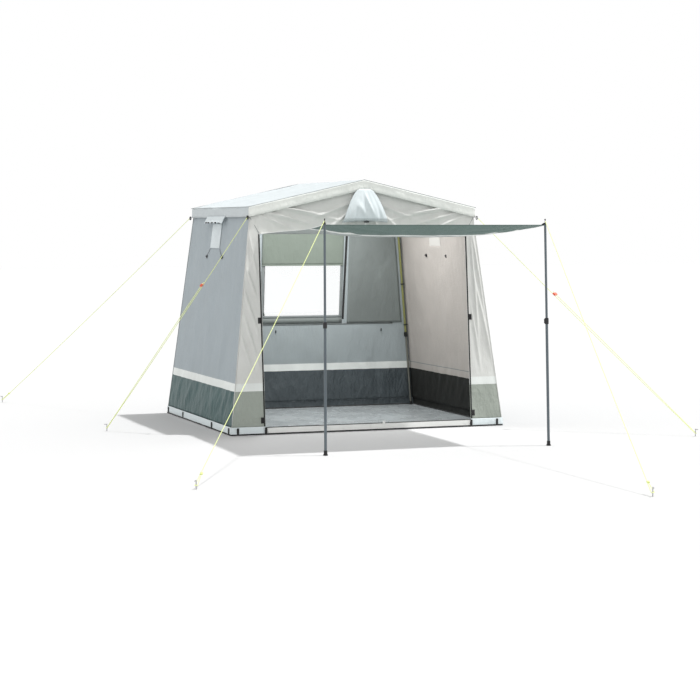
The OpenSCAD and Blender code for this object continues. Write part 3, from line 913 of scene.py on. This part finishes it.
def make_front_gable():
    across = ladder((-1.012, -0.945, -0.12, 0, 0.12, 0.945, 1.012), 0.013)
    rows = ladder((0, 1), 1 / 36)

    def height(x, v):
        low, high = gable_edges(x)
        return low + (high - low) * v

    def place(x, v):
        z = height(x, v)
        lift = 0.009 * rumple(x, z * 0.6, 0.16, 61) + 0.005 * rumple(x, z, 0.07, 67)
        for i in range(7):
            turn = math.radians(-66 + 22 * i)
            end = (0.55 * math.sin(turn), 1.98 - 0.42 * math.cos(turn))
            lift += fold(x, z, (0, 2.0), end, 0.014, 0.018)
        for side in SIDES:
            for start, end, width, rise in GABLE_FOLDS:
                lift += fold(side * x, z, start, end, width, rise)
        fade = smooth(0, 0.2, v) * smooth(1, 0.9, v) * smooth(1.01, 0.95, abs(x))
        at = Vector((x, -max(half_d(z), GABLE_Y), z))
        return at + fade * max(-0.008, min(0.034, lift)) * END_OUT[-1], END_OUT[-1]

    # The gable's outer face carries painted sunlight.
    gable = panel(
        "front_gable_cloth", rows, across, place, [FRONT_PAINTED_SUN, LINING],
        hole=lambda x, v: gable_hole(x, height(x, v)), uv=lambda x, v: (x, height(x, v)),
    )
    sew(gable, "front_cloth", "front_gable", thick=CLOTH_T, inner=1)


def make_back_gable():
    across = ladder((-1.012, 0, 1.012), 0.03)
    rows = ladder((0, 1), 1 / 10)

    def height(x, v):
        return WALL_TOP + (roof_z(x) - 0.008 - WALL_TOP) * v

    def place(x, v):
        z = height(x, v)
        lift = 0.004 * rumple(x, z, 0.14, 71) * smooth(0, 0.2, v) * smooth(1, 0.8, v)
        return Vector((x, max(half_d(z), GABLE_Y), z)) + lift * END_OUT[1], END_OUT[1]

    gable = panel(
        "back_gable_cloth", rows, across, place, [WALL, LINING],
        uv=lambda x, v: (x, height(x, v)),
    )
    sew(gable, "wall_cloth", "back_gable", thick=CLOTH_T, inner=1)


for panel_side in SIDES:
    make_front_panel(panel_side)
make_front_gable()
make_back_gable()

# ---- Roof cap ----


def roof_relief(x, y):
    """Sag between the poles, and puckers that run in from the corners."""
    sag = -0.012 * math.sin(math.pi * min(1, abs(x) / ROOF_HALF)) * math.cos(1.3 * y / ROOF_END)
    pucker = 0.0
    for sx in SIDES:
        for sy in SIDES:
            away = math.hypot(x - sx * ROOF_HALF, y - sy * ROOF_END)
            turn = math.atan2(abs(y - sy * ROOF_END), abs(x - sx * ROOF_HALF))
            pucker += 0.011 * math.exp(-away / 0.28) * math.sin(16 * turn) * smooth(0, 0.08, away)
    soft = 0.008 * rumple(x, y, 0.30, 81) + 0.004 * rumple(x, y, 0.10, 83)
    return sag + pucker + soft


def make_roof():
    """Both slopes and the hem round them as one sheet, its edges rounded by smoothing."""
    xs = ladder((-ROOF_HALF, 0, ROOF_HALF), 0.022)
    ys = ladder((-ROOF_END, 0, ROOF_END), 0.022)
    mesh = bmesh.new()
    layer = mesh.loops.layers.uv.new("UVMap")
    made = {}

    def vertex(x, y, down):
        key = (round(x, 5), round(y, 5), round(down, 5))
        if key not in made:
            z = roof_z(x) - down
            if not down:
                z += roof_relief(x, y)
            ripple = 0.004 * rumple(x + y, down, 0.09, 87) * smooth(0, 0.03, down)
            ripple += 0.003 * rumple(x - y, down * 2, 0.25, 89) * smooth(0, 0.06, down)
            out_x = math.copysign(ripple, x) if abs(abs(x) - ROOF_HALF) < 1e-6 else 0
            out_y = math.copysign(ripple, y) if abs(abs(y) - ROOF_END) < 1e-6 else 0
            made[key] = mesh.verts.new((x + out_x, y + out_y, z))
        return made[key]

    def face(corners, index, on_side=False):
        made_face = mesh.faces.new([vertex(*corner) for corner in corners])
        made_face.material_index = index
        made_face.smooth = True
        for loop, (x, y, down) in zip(made_face.loops, corners):
            loop[layer].uv = (x + down, y) if on_side else (x, y + down)

    for x0, x1 in zip(xs, xs[1:]):
        for y0, y1 in zip(ys, ys[1:]):
            face([(x0, y0, 0), (x1, y0, 0), (x1, y1, 0), (x0, y1, 0)], 0)
    steps = ladder((0, HEM), 0.022)
    for d0, d1 in zip(steps, steps[1:]):
        for y0, y1 in zip(ys, ys[1:]):
            for x in (-ROOF_HALF, ROOF_HALF):
                corners = [(x, y0, d0), (x, y0, d1), (x, y1, d1), (x, y1, d0)]
                face(corners if x < 0 else corners[::-1], 1, on_side=True)
        for x0, x1 in zip(xs, xs[1:]):
            for y in (-ROOF_END, ROOF_END):
                corners = [(x0, y, d0), (x0, y, d1), (x1, y, d1), (x1, y, d0)]
                # The hem's front faces take the lighter hem cloth, which carries painted sunlight.
                face(corners if y > 0 else corners[::-1], 1 if y > 0 else 2)
    bmesh.ops.recalc_face_normals(mesh, faces=mesh.faces)
    inside = [v for v in mesh.verts if not v.is_boundary]
    for _ in range(2):
        bmesh.ops.smooth_vert(
            mesh, verts=inside, factor=0.5, use_axis_x=True, use_axis_y=True, use_axis_z=True
        )
    data = bpy.data.meshes.new("roof_cloth")
    mesh.to_mesh(data)
    mesh.free()
    roof = bpy.data.objects.new("roof_cap_cloth", data)
    bpy.context.scene.collection.objects.link(roof)
    for material in (ROOF, HEM_CLOTH, HEM_FRONT_PAINTED_SUN):
        data.materials.append(material)
    sew(roof, "roof_cloth", "roof_left", "roof_right", "roof_valance", thick=0.0018)


def make_roof_edging():
    """Thin piping sewn along the roof's edges."""
    xs = ladder((-ROOF_HALF, 0, ROOF_HALF), 0.05)
    ys = ladder((-ROOF_END, ROOF_END), 0.05)
    lines = {}
    for side in SIDES:
        y = side * (ROOF_END + 0.001)
        lines[ROWS[side]] = [Vector((x, y, roof_z(x) - 0.004)) for x in xs]
    for side in SIDES:
        x = side * (ROOF_HALF + 0.001)
        lines[ENDS[side]] = [Vector((x, y, roof_z(ROOF_HALF) - 0.004)) for y in ys]
    for end, line in lines.items():
        tube(f"roof_piping_{end}", line, 0.0028, PIPING, 6)


make_roof()
make_roof_edging()

# ---- Foot of the walls, sill and groundsheet ----


def make_mud_flap():
    """A stiff pale band round the foot, open at the door."""
    x, y = FLAP_X, FLAP_Y
    corners = ((-DOOR_HALF, -y), (-x, -y), (-x, y), (x, y), (x, -y), (DOOR_HALF, -y))
    line = []
    for start, end in zip(corners, corners[1:]):
        a, b = Vector(start), Vector(end)
        count = max(2, round((b - a).length / 0.03))
        out = Vector(((b - a).y, -(b - a).x)).normalized()
        if out.dot((a + b) / 2) < 0:
            out = -out
        for i in range(count):
            line.append((a + (b - a) * i / count, out, i / count))
    line.append((Vector(corners[-1]), Vector((0, -1)), 1))
    rows = ladder((0.003, 0.060, FLAP_H + 0.004), 0.012)

    def place(i, z):
        at, out, share = line[round(i)]
        free = smooth(0, 0.06, share) * smooth(1, 0.94, share)
        ripple = 0.0030 * rumple(i * 0.03, z, 0.11, 91) * free
        lean = -0.0035 * smooth(0.03, FLAP_H, z)
        shift = ripple + lean + 0.001
        return Vector((*(at + out * shift), z)), Vector((*out, 0))

    # The flap's inner face on the front and sides takes the darkened band cloth with its painted
    # shade.
    flap = panel(
        "mud_flap_cloth", rows, range(len(line)), place,
        [FLAP, FLAP, SIDE_LINING_DARK_PAINTED_SHADE, LINING_DARK],
        band=lambda i, z: 1 if line[min(round(i), len(line) - 1)][1].y > 0.5 else 0,
        uv=lambda i, z: (i * 0.03, z),
    )
    sew(flap, "flap_cloth", "mud_flap", thick=0.002, inner=2)


def make_sill():
    rows = ladder((0.004, 0.058, FLAP_H), 0.01)
    xs = spread((-DOOR_HALF + 0.002, DOOR_HALF - 0.002), (70,))

    def place(x, z):
        wave = 0.0015 * rumple(x, z, 0.2, 95)
        return Vector((x, wave - FLAP_Y, z)), Vector((0, -1, 0))

    sill = panel(
        "door_sill_cloth", rows, xs, place, [SILL, BLACK_CLOTH],
        band=lambda x, z: 1 if z > 0.058 else 0,
    )
    sew(sill, "flap_cloth", "door_sill", thick=0.004)
    tab = panel(
        "sill_tab", ladder((0.050, 0.078), 0.007), spread((0.11, 0.135), (4,)),
        lambda x, z: (Vector((x, -FOOT_D / 2 - 0.0045, z)), Vector((0, -1, 0))), [SILL],
    )
    sew(tab, "flap_cloth", thick=THIN_T)


def make_groundsheet():
    """Thin sheet with the square creases of its packing, kept flat round the legs."""
    rows = spread((-FOOT_D / 2 + 0.012, FOOT_D / 2 - 0.012), (84,))
    xs = spread((-FOOT_W / 2 + 0.012, FOOT_W / 2 - 0.012), (98,))

    def place(x, y):
        crease = 0.0
        for line in (-0.8, -0.4, 0.0, 0.4, 0.8):
            crease += 0.0016 * math.exp(-(((x - line) / 0.016) ** 2))
            crease += 0.0012 * math.exp(-(((y - line) / 0.016) ** 2))
        legs = math.hypot(abs(x) - LEG_X, abs(y) - LEG_Y)
        lift = (crease + 0.0012 * (1 + rumple(x, y, 0.12, 97))) * smooth(0.03, 0.12, legs)
        return Vector((x, y, 0.0028 + lift)), Vector((0, 0, 1))

    sheet = panel("groundsheet_film", rows, xs, place, [GROUND])
    sew(sheet, "groundsheet_cloth", "groundsheet", thick=0.0015)


def make_foot_edge():
    """A black tube along the lower edge of the flap and sill, all the way round: a painted line of
    contact shadow.
    """
    x, y = FLAP_X, FLAP_Y
    corners = ((-x, -y), (-x, y), (x, y), (x, -y), (-x, -y))
    line = []
    for start, end in zip(corners, corners[1:]):
        a, b = Vector((*start, 0.0065)), Vector((*end, 0.0065))
        line += [a.lerp(b, t) for t in (0.003, 0.997)]
    tube("foot_contact_shade", [*line, line[0]], 0.006, BLACK_CLOTH)


make_mud_flap()
make_sill()
make_foot_edge()
make_groundsheet()

# ---- Door panel, propped up as a canopy ----

CANOPY_SAG = 0.075
CANOPY_BAND = (0.30, 0.365)


def canopy_point(x, run, lift=0.0):
    """A point on the door panel: run is the distance from its hinge line."""
    share = run / CANOPY_L
    across = 1 - 0.82 * abs(x / CANOPY_HALF) ** 3
    sag = CANOPY_SAG * math.sin(math.pi * share**2.2) * across
    out = Vector((0, -math.cos(CANOPY_RISE), math.sin(CANOPY_RISE)))
    up = Vector((0, math.sin(CANOPY_RISE), math.cos(CANOPY_RISE)))
    return Vector((x, HINGE_Y, DOOR_H)) + run * out + (lift - sag) * up, up


def canopy_relief(x, run):
    free = smooth(0, 0.15, run) * smooth(CANOPY_L, CANOPY_L - 0.08, run)
    free *= smooth(CANOPY_HALF, CANOPY_HALF - 0.06, abs(x))
    lift = 0.006 * rumple(x * 0.7, run * 0.35, 0.22, 101) + 0.002 * rumple(x, run, 0.07, 103)
    for side in SIDES:
        corner = (side * 0.93, CANOPY_L - 0.02)
        lift += fold(x, run, corner, (side * 0.45, 1.15), 0.03, 0.010)
        lift += fold(x, run, corner, (side * 0.70, 0.95), 0.025, 0.008)
        lift += fold(x, run, corner, (side * 0.25, 1.38), 0.025, 0.007)
        lift += fold(x, run, (side * 0.93, 0.03), (side * 0.5, 0.6), 0.03, 0.006)
    return lift * free


def canopy_band(x, run):
    edge = CANOPY_L - run
    if edge < CANOPY_BAND[0]:
        return 1
    return 2 if edge < CANOPY_BAND[1] else 0


def make_canopy():
    stops = (0.012, CANOPY_L - CANOPY_BAND[1], CANOPY_L - CANOPY_BAND[0], CANOPY_L - 0.001)
    xs = spread((-CANOPY_HALF, CANOPY_HALF), (90,))
    canopy = panel(
        "door_canopy_cloth", ladder(stops, 0.02), xs,
        lambda x, run: canopy_point(x, run, canopy_relief(x, run)),
        [CANOPY, CANOPY_DARK, STRIPE], canopy_band,
    )
    sew(canopy, "canopy_cloth", "door_canopy", thick=CLOTH_T, offset=0, body="canopy")

    hems = []
    for side in SIDES:
        line = [
            canopy_point(side * (CANOPY_HALF - 0.001), run)[0]
            for run in ladder((0.012, CANOPY_L - 0.002), 0.04)
        ]
        name = f"canopy_hem_{ENDS[side]}"
        hems.append(tube(name, line, 0.003, STRIPE, 6, "canopy"))
    line = [canopy_point(x, CANOPY_L - 0.003)[0] for x in ladder((-0.942, 0.942), 0.06)]
    edge = tube("canopy_hem_edge", line, 0.0032, CANOPY_DARK, 6, "canopy")
    hems += [edge, *(make_eyelet_tab(side) for side in SIDES)]


def make_eyelet_tab(side):
    """A black tab from the corner of the canopy, with its eyelet round the pole's spike."""
    spike = Vector((side * 0.9349, -2.5124, 1.7825))
    points = []
    uvs = []
    steps = 20
    corner = canopy_point(side * (CANOPY_HALF - 0.02), CANOPY_L - 0.028)[0]
    for i in range(steps):
        turn = 2 * math.pi * i / steps
        way = Vector((math.cos(turn), math.sin(turn), 0))
        points.append(spike + 0.0058 * way)
        rim = spike + 0.012 * way
        pull = smooth(0.1, 1.0, way.y)
        wide = Vector((rim.x + way.x * 0.006 - side * 0.008 * pull, corner.y, corner.z + 0.0025))
        points.append(rim)
        points.append(rim.lerp(wide, pull))
        uvs += [(way.x * reach, way.y * reach) for reach in (0.006, 0.012, 0.03)]
    faces = grid_faces(steps, 3, closed=True)
    tab = new_object(f"eyelet_tab_{ENDS[side]}", points, faces, uvs, [BLACK_TAPE])
    sew(tab, "black_webbing", thick=CLOTH_T, offset=0, body="canopy")
    return tab


def make_hinge_strip():
    """Cloth that runs from the gable's lower edge onto the door panel."""
    gable = front_point(0, DOOR_H + 0.012, 0.0012)[0]
    xs = spread((-CANOPY_HALF, CANOPY_HALF), (90,))

    def place(x, t):
        cloth_end, up = canopy_point(x, 0.034, 0.0016)
        point = Vector((x, gable.y, gable.z)).lerp(cloth_end, t)
        return point + Vector((0, 0, -0.004 * math.sin(math.pi * t))), up

    # The strip's cloth carries painted sunlight.
    strip = panel(
        "canopy_hinge_cloth", ladder((0, 1), 1 / 8), xs, place, [FRONT_PAINTED_SUN],
        uv=lambda x, t: (x, t * 0.05),
    )
    thicken(strip, THIN_T, offset=0)
    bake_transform(strip)


make_canopy()
make_hinge_strip()

# ---- Vent hoods and flaps ----


def make_front_hood():
    """A puffed flap over the gable vent, held out by a toggle at the middle of its lower edge."""
    top, bottom = 2.078, 1.787
    rows = ladder((0, 0.88, 1.0), 1 / 18)
    us = spread((-1, 1), (44,))

    def place(u, v):
        half = 0.045 + 0.165 * v**0.6
        out = 0.062 * math.sin(math.pi * 0.5 * min(1, v / 0.86)) * (1 - 0.55 * abs(u) ** 2.5)
        out -= 0.020 * smooth(0.9, 1.0, v)
        rays = 0.006 * math.sin(5.5 * math.pi * u + 1.3 * rumple(u, v, 0.8, 111)) * v
        rays += 0.010 * rumple(u * 2.2, v, 0.35, 113) * v
        rays += fold(u, v, (-0.10, 0.10), (0.42, 0.84), 0.09, 0.024)
        rays += fold(u, v, (-0.60, 0.40), (0.05, 0.80), 0.09, 0.016)
        x = half * u
        z = top + (bottom - top) * v + 0.012 * (1 - u * u) * smooth(0.85, 1, v)
        y = -ROOF_END - 0.006 - out - rays * smooth(1, 0.7, abs(u))
        return Vector((x, y, z)), Vector((0, -1, 0.3))

    hood = panel(
        "front_hood_cloth", rows, us, place, [VENT, HEM_CLOTH],
        band=lambda u, v: 1 if v > 0.88 else 0, uv=lambda u, v: (0.2 * u * v, 0.3 * v),
    )
    sew(hood, "roof_cloth", "vent_hood_front", thick=CLOTH_T)
    line = [Vector((x, -ROOF_END - 0.054, bottom + 0.006)) for x in (-0.02, -0.012, 0.012, 0.02)]
    tube("front_hood_toggle", line, 0.006, BLACK_PLASTIC, 10)


def make_side_hood(side):
    """A crumpled pale flap above the side vent."""
    top, drop, out, half = 1.846, 0.060, 0.045, 0.28
    us = spread((-1, 1), (60,))

    def place(u, v):
        crumple = 0.006 * rumple(u * 3, v, 0.35, 121 + side) + 0.003 * rumple(u * 8, v, 0.5, 123)
        x = ROOF_HALF + 0.006 + out * v * (1 - 0.25 * u * u) + crumple * v
        z = top - drop * v + 0.008 * rumple(u * 4, 1, 0.6, 125) * v
        return Vector((side * x, VENT_Y + half * u, z)), Vector((side, 0, 0.6))

    hood = panel(
        f"side_hood_{ENDS[side]}_cloth", ladder((0, 1), 0.12), us, place, [VENT],
        uv=lambda u, v: (half * u, 0.075 * v),
    )
    sew(hood, "roof_cloth", f"vent_hood_{ENDS[side]}", thick=CLOTH_T)
    for i, u in enumerate((-0.45, -0.1, 0.3, 0.62)):
        x = side * (ROOF_HALF + 0.052 - 0.012 * u * u) + side * 0.004
        y = VENT_Y + half * u
        line = [Vector((x, y + dy, z)) for dy, z in ((-0.016, 1.789), (0, 1.786), (0.016, 1.787))]
        tube(f"hood_toggle_{ENDS[side]}_{i + 1}", line, 0.0055, BLACK_PLASTIC)


def make_vent_flap(side):
    half = 0.145
    rows = ladder((FLAP_BOTTOM, FLAP_TOP), 0.014)
    ys = spread((VENT_Y - half, VENT_Y + half), (24,))

    def place(y, z):
        free = smooth(FLAP_TOP, FLAP_TOP - 0.05, z)
        stitch = 0.0
        for line in (1.572, 1.584, 1.596):
            stitch -= 0.0009 * math.exp(-(((z - line) / 0.004) ** 2))
        wave = 0.0014 * rumple(y, z, 0.09, 131) + stitch
        return side_wall_point(side, y, z, 0.0045 + free * max(-0.0008, wave))

    flap = panel(f"vent_flap_{ENDS[side]}_cloth", rows, ys, place, [VENT])
    sew(
        flap, "roof_cloth", f"vent_flap_{ENDS[side]}",
        thick=0.0014, offset=0, body=f"vent_{ENDS[side]}",
    )


def make_vent_ties(side):
    """Thin strings from the foot of the vent down to the toggles beside it."""
    for end in SIDES:
        dy = 0.24 * end
        start = side_wall_point(side, VENT_Y + dy * 0.63, 1.556, 0.002)[0]
        foot = side_wall_point(side, VENT_Y + dy, 1.492, 0.004)[0]
        middle = (start + foot) / 2 + Vector((0, 0, -0.008))
        which = f"{ENDS[side]}_{ROWS[end]}"
        tube(f"vent_tie_{which}", [start, middle, foot], 0.0016, BLACK_TAPE, 6)
        for face, lift in (("outer", 0.0020), ("inner", -0.0065)):
            tab = panel(
                f"vent_tab_{face}_{which}", ladder((1.468, 1.498), 0.01),
                spread((VENT_Y + dy - 0.013, VENT_Y + dy + 0.013), (3,)),
                lambda y, z: side_wall_point(side, y, z, lift), [BLACK_TAPE],
            )
            sew(tab, "black_webbing", thick=THIN_T, offset=0)


make_front_hood()
for vent_side in SIDES:
    make_side_hood(vent_side)
    make_vent_flap(vent_side)
    make_vent_ties(vent_side)

# ---- Zips, piping and webbing loops ----


def make_zip(side):
    """Tape with a row of small teeth along each side of the door opening."""
    x = 0.954
    low, high = 0.0014, 0.0021
    half = 0.0018
    tape = panel(
        f"zip_tape_{ENDS[side]}", ladder((WALL_FOOT, DOOR_H), 0.03),
        [side * (x + v) for v in (-0.006, -0.002, 0.002, 0.006)],
        lambda a, z: front_point(a, z, low), [BLACK_CLOTH],
    )
    sew(tape, "black_webbing", "door_zips", thick=0.0009, offset=0)
    points = []
    faces = []
    uvs = []
    for i, z in enumerate(ladder((0.09, 1.675), 0.006)):
        shift = side * (x + (0.0007 if i % 2 else -0.0007))
        for dz in (-half, half):
            for dx, lift in ((-half, low), (-0.0010, high), (0.0010, high), (half, low)):
                points.append(front_point(shift + dx, z + dz, lift)[0])
                uvs.append((dx, dz))
        k = 8 * i
        faces += [(k, k + 1, k + 5, k + 4), (k + 1, k + 2, k + 6, k + 5),
                  (k + 2, k + 3, k + 7, k + 6), (k, k + 3, k + 2, k + 1),
                  (k + 4, k + 5, k + 6, k + 7), (k, k + 4, k + 7, k + 3)]
    teeth = new_object(f"zip_teeth_{ENDS[side]}", points, faces, uvs, [BLACK_PLASTIC])
    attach(teeth, "tent")


def make_corner_piping():
    for sx, sy in CORNERS:
        line = [
            Vector((sx * (half_w(z) + 0.001), sy * (half_d(z) + 0.001), z))
            for z in ladder((WALL_FOOT, 1.86), 0.12)
        ]
        # The front-left piping takes the front cloth with its painted sunlight.
        material = {(1, -1): SILL, (-1, -1): FRONT_PAINTED_SUN}.get((sx, sy), PIPING)
        tube(f"corner_piping_{ROWS[sy]}_{ENDS[sx]}", line, 0.0034, material)


def make_corner_seams():
    """Sewn seams from the corners of the hem down to the corners of the doorway."""
    for side in SIDES:
        line = [
            front_point(side * (1.032 - 0.082 * t), 1.835 - 0.14 * t, 0.001)[0]
            for t in ladder((0, 1), 0.1)
        ]
        tube(f"corner_seam_{ENDS[side]}", line, 0.0022, TRIM, 6)


def strap_loop(name, at, across, out, width, height, depth):
    """A closed loop of webbing that stands off its root. Across and out are its directions."""
    points = []
    uvs = []
    steps = 24
    for i in range(steps):
        turn = 2 * math.pi * i / steps
        bow = out * (depth * 0.5 * math.sin(turn))
        drop = UP * (height * 0.5 * (1 - math.cos(turn)))
        for edge in (-width / 2, width / 2):
            points.append(at + bow - drop + across * edge)
            uvs.append((edge, height * i / steps * 2))
    loop = new_object(name, points, grid_faces(steps, 2, closed=True), uvs, [BLACK_TAPE])
    sew(loop, "black_webbing", thick=0.0014, offset=0)
    return loop


def make_peg_loops():
    x = FLAP_X + 0.0015
    y = FLAP_Y + 0.0015
    spots = []
    for sx in SIDES:
        for dy in (-y + 0.06, -y * 0.45, y * 0.45, y - 0.06):
            spots.append((Vector((sx * x, dy, 0)), Vector((0, 1, 0)), Vector((sx, 0, 0))))
    for sy in SIDES:
        for dx in (-x + 0.06, x - 0.06):
            spots.append((Vector((dx, sy * y, 0)), Vector((1, 0, 0)), Vector((0, sy, 0))))
    for dx in (-DOOR_HALF, DOOR_HALF):
        spots.append((Vector((dx, -y, 0)), Vector((1, 0, 0)), Vector((0, -1, 0))))
    for dx in (-x / 3, x / 3):
        spots.append((Vector((dx, y, 0)), Vector((1, 0, 0)), Vector((0, 1, 0))))
    for i, (at, across, out) in enumerate(spots):
        at = at + Vector((0, 0, 0.062)) + 0.004 * out
        strap_loop(f"peg_loop_{i + 1}", at, across, out, 0.018, 0.050, 0.006)
    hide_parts("peg_loops")


def make_guy_loops():
    for sx, sy in CORNERS:
        at = Vector((sx * (ROOF_HALF + 0.008), sy * (ROOF_END + 0.008), 1.846))
        out = Vector((sx, sy, 0)).normalized()
        across = Vector((-sy, sx, 0)).normalized()
        name = f"guy_loop_{ROWS[sy]}_{ENDS[sx]}"
        strap_loop(name, at, across, out, 0.016, 0.032, 0.012)
    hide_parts("guy_loops")


def make_door_buckles(side):
    """Black webbing tabs on the edge of the door opening, behind the toggles."""
    for name, low, high in (("upper", 0.935, 0.985), ("lower", 0.095, 0.145)):
        tab = panel(
            f"door_tab_{name}_{ENDS[side]}", ladder((low, high), 0.01),
            [side * v for v in spread((0.949, 0.985), (4,))],
            lambda x, z: front_point(x, z, 0.0032), [BLACK_TAPE],
        )
        sew(tab, "black_webbing", thick=CLOTH_T, offset=0)


for zip_side in SIDES:
    make_zip(zip_side)
    make_door_buckles(zip_side)
make_corner_piping()
make_corner_seams()
make_peg_loops()
make_guy_loops()

# ---- Carried-over CAD parts ----

KEPT = (
    (BLIND, ["blind_batten"]),
    (BLACK_METAL, ["zip_slider_left", "zip_slider_right"]),
    (BLACK_PLASTIC, ["toggles", "pole_clips", "tube_clamps", "corner_joints", "peak_joints"]),
    (BLACK_PLASTIC, [f"canopy_pole_tip_{end}" for end in ENDS.values()]),
    (BLACK_RUBBER, ["canopy_pole_feet"]),
    (BLACK_RUBBER, [f"leg_foot_{ROWS[sy]}_{ENDS[sx]}" for sx, sy in CORNERS]),
    (POLE_STEEL, ["canopy_pole_lower_tubes"]),
    (POLE_STEEL, [f"canopy_pole_tube_{end}" for end in ENDS.values()]),
    (PEG_STEEL, ["guy_pegs"]),
    (RUNNER, ["guy_runner_front_left", "guy_runner_front_right"]),
    (FRAME_OLIVE, ["leg_upper_tubes"]),
    (FRAME_STEEL, ["eave_poles", "rafters", "ridge_pole"]),
    (FRAME_STEEL, [f"leg_tube_{ROWS[sy]}_{ENDS[sx]}" for sx, sy in CORNERS]),
    (NET, ["vent_meshes"]),
)
for kept_material, node_names in KEPT:
    for node_name in node_names:
        keep_node(node_name, kept_material)

# ---- Floor and light ----


def add_light(name, kind, energy):
    data = bpy.data.lights.new(name, kind)
    data.energy = energy
    light = bpy.data.objects.new(name, data)
    bpy.context.scene.collection.objects.link(light)
    return light


def make_stage():
    uvs = [(0, 0), (1, 0), (1, 1), (0, 1)]
    corners = [(120 * u - 60, 120 * v - 60, -0.002) for u, v in uvs]
    floor = Shader("studio_floor").set(
        Base_Color=(0.53, 0.53, 0.53, 1), Roughness=0.9, Specular_IOR_Level=0.0
    )
    new_object("ground", corners, [(0, 1, 2, 3)], uvs, [floor])

    world = bpy.data.worlds.new("studio")
    world.use_nodes = True
    sky = world.node_tree.nodes["Background"].inputs
    sky["Color"].default_value = (1, 1, 1, 1)
    sky["Strength"].default_value = 1.0
    bpy.context.scene.world = world

    key = add_light("key", "SUN", 3.1)
    key.data.angle = math.radians(1.6)
    key.rotation_euler = Vector((0.36, -0.07, 1.0)).to_track_quat("Z", "Y").to_euler()

    # Stands in for the light that comes through the roof cloth.
    fill = add_light("fill", "AREA", 44)
    fill.data.shape = "RECTANGLE"
    fill.data.size = 1.5
    fill.data.size_y = 1.3
    fill.location = (0, 0, 1.95)
    fill.visible_camera = False
    bpy.context.scene.view_settings.view_transform = "Standard"


make_stage()
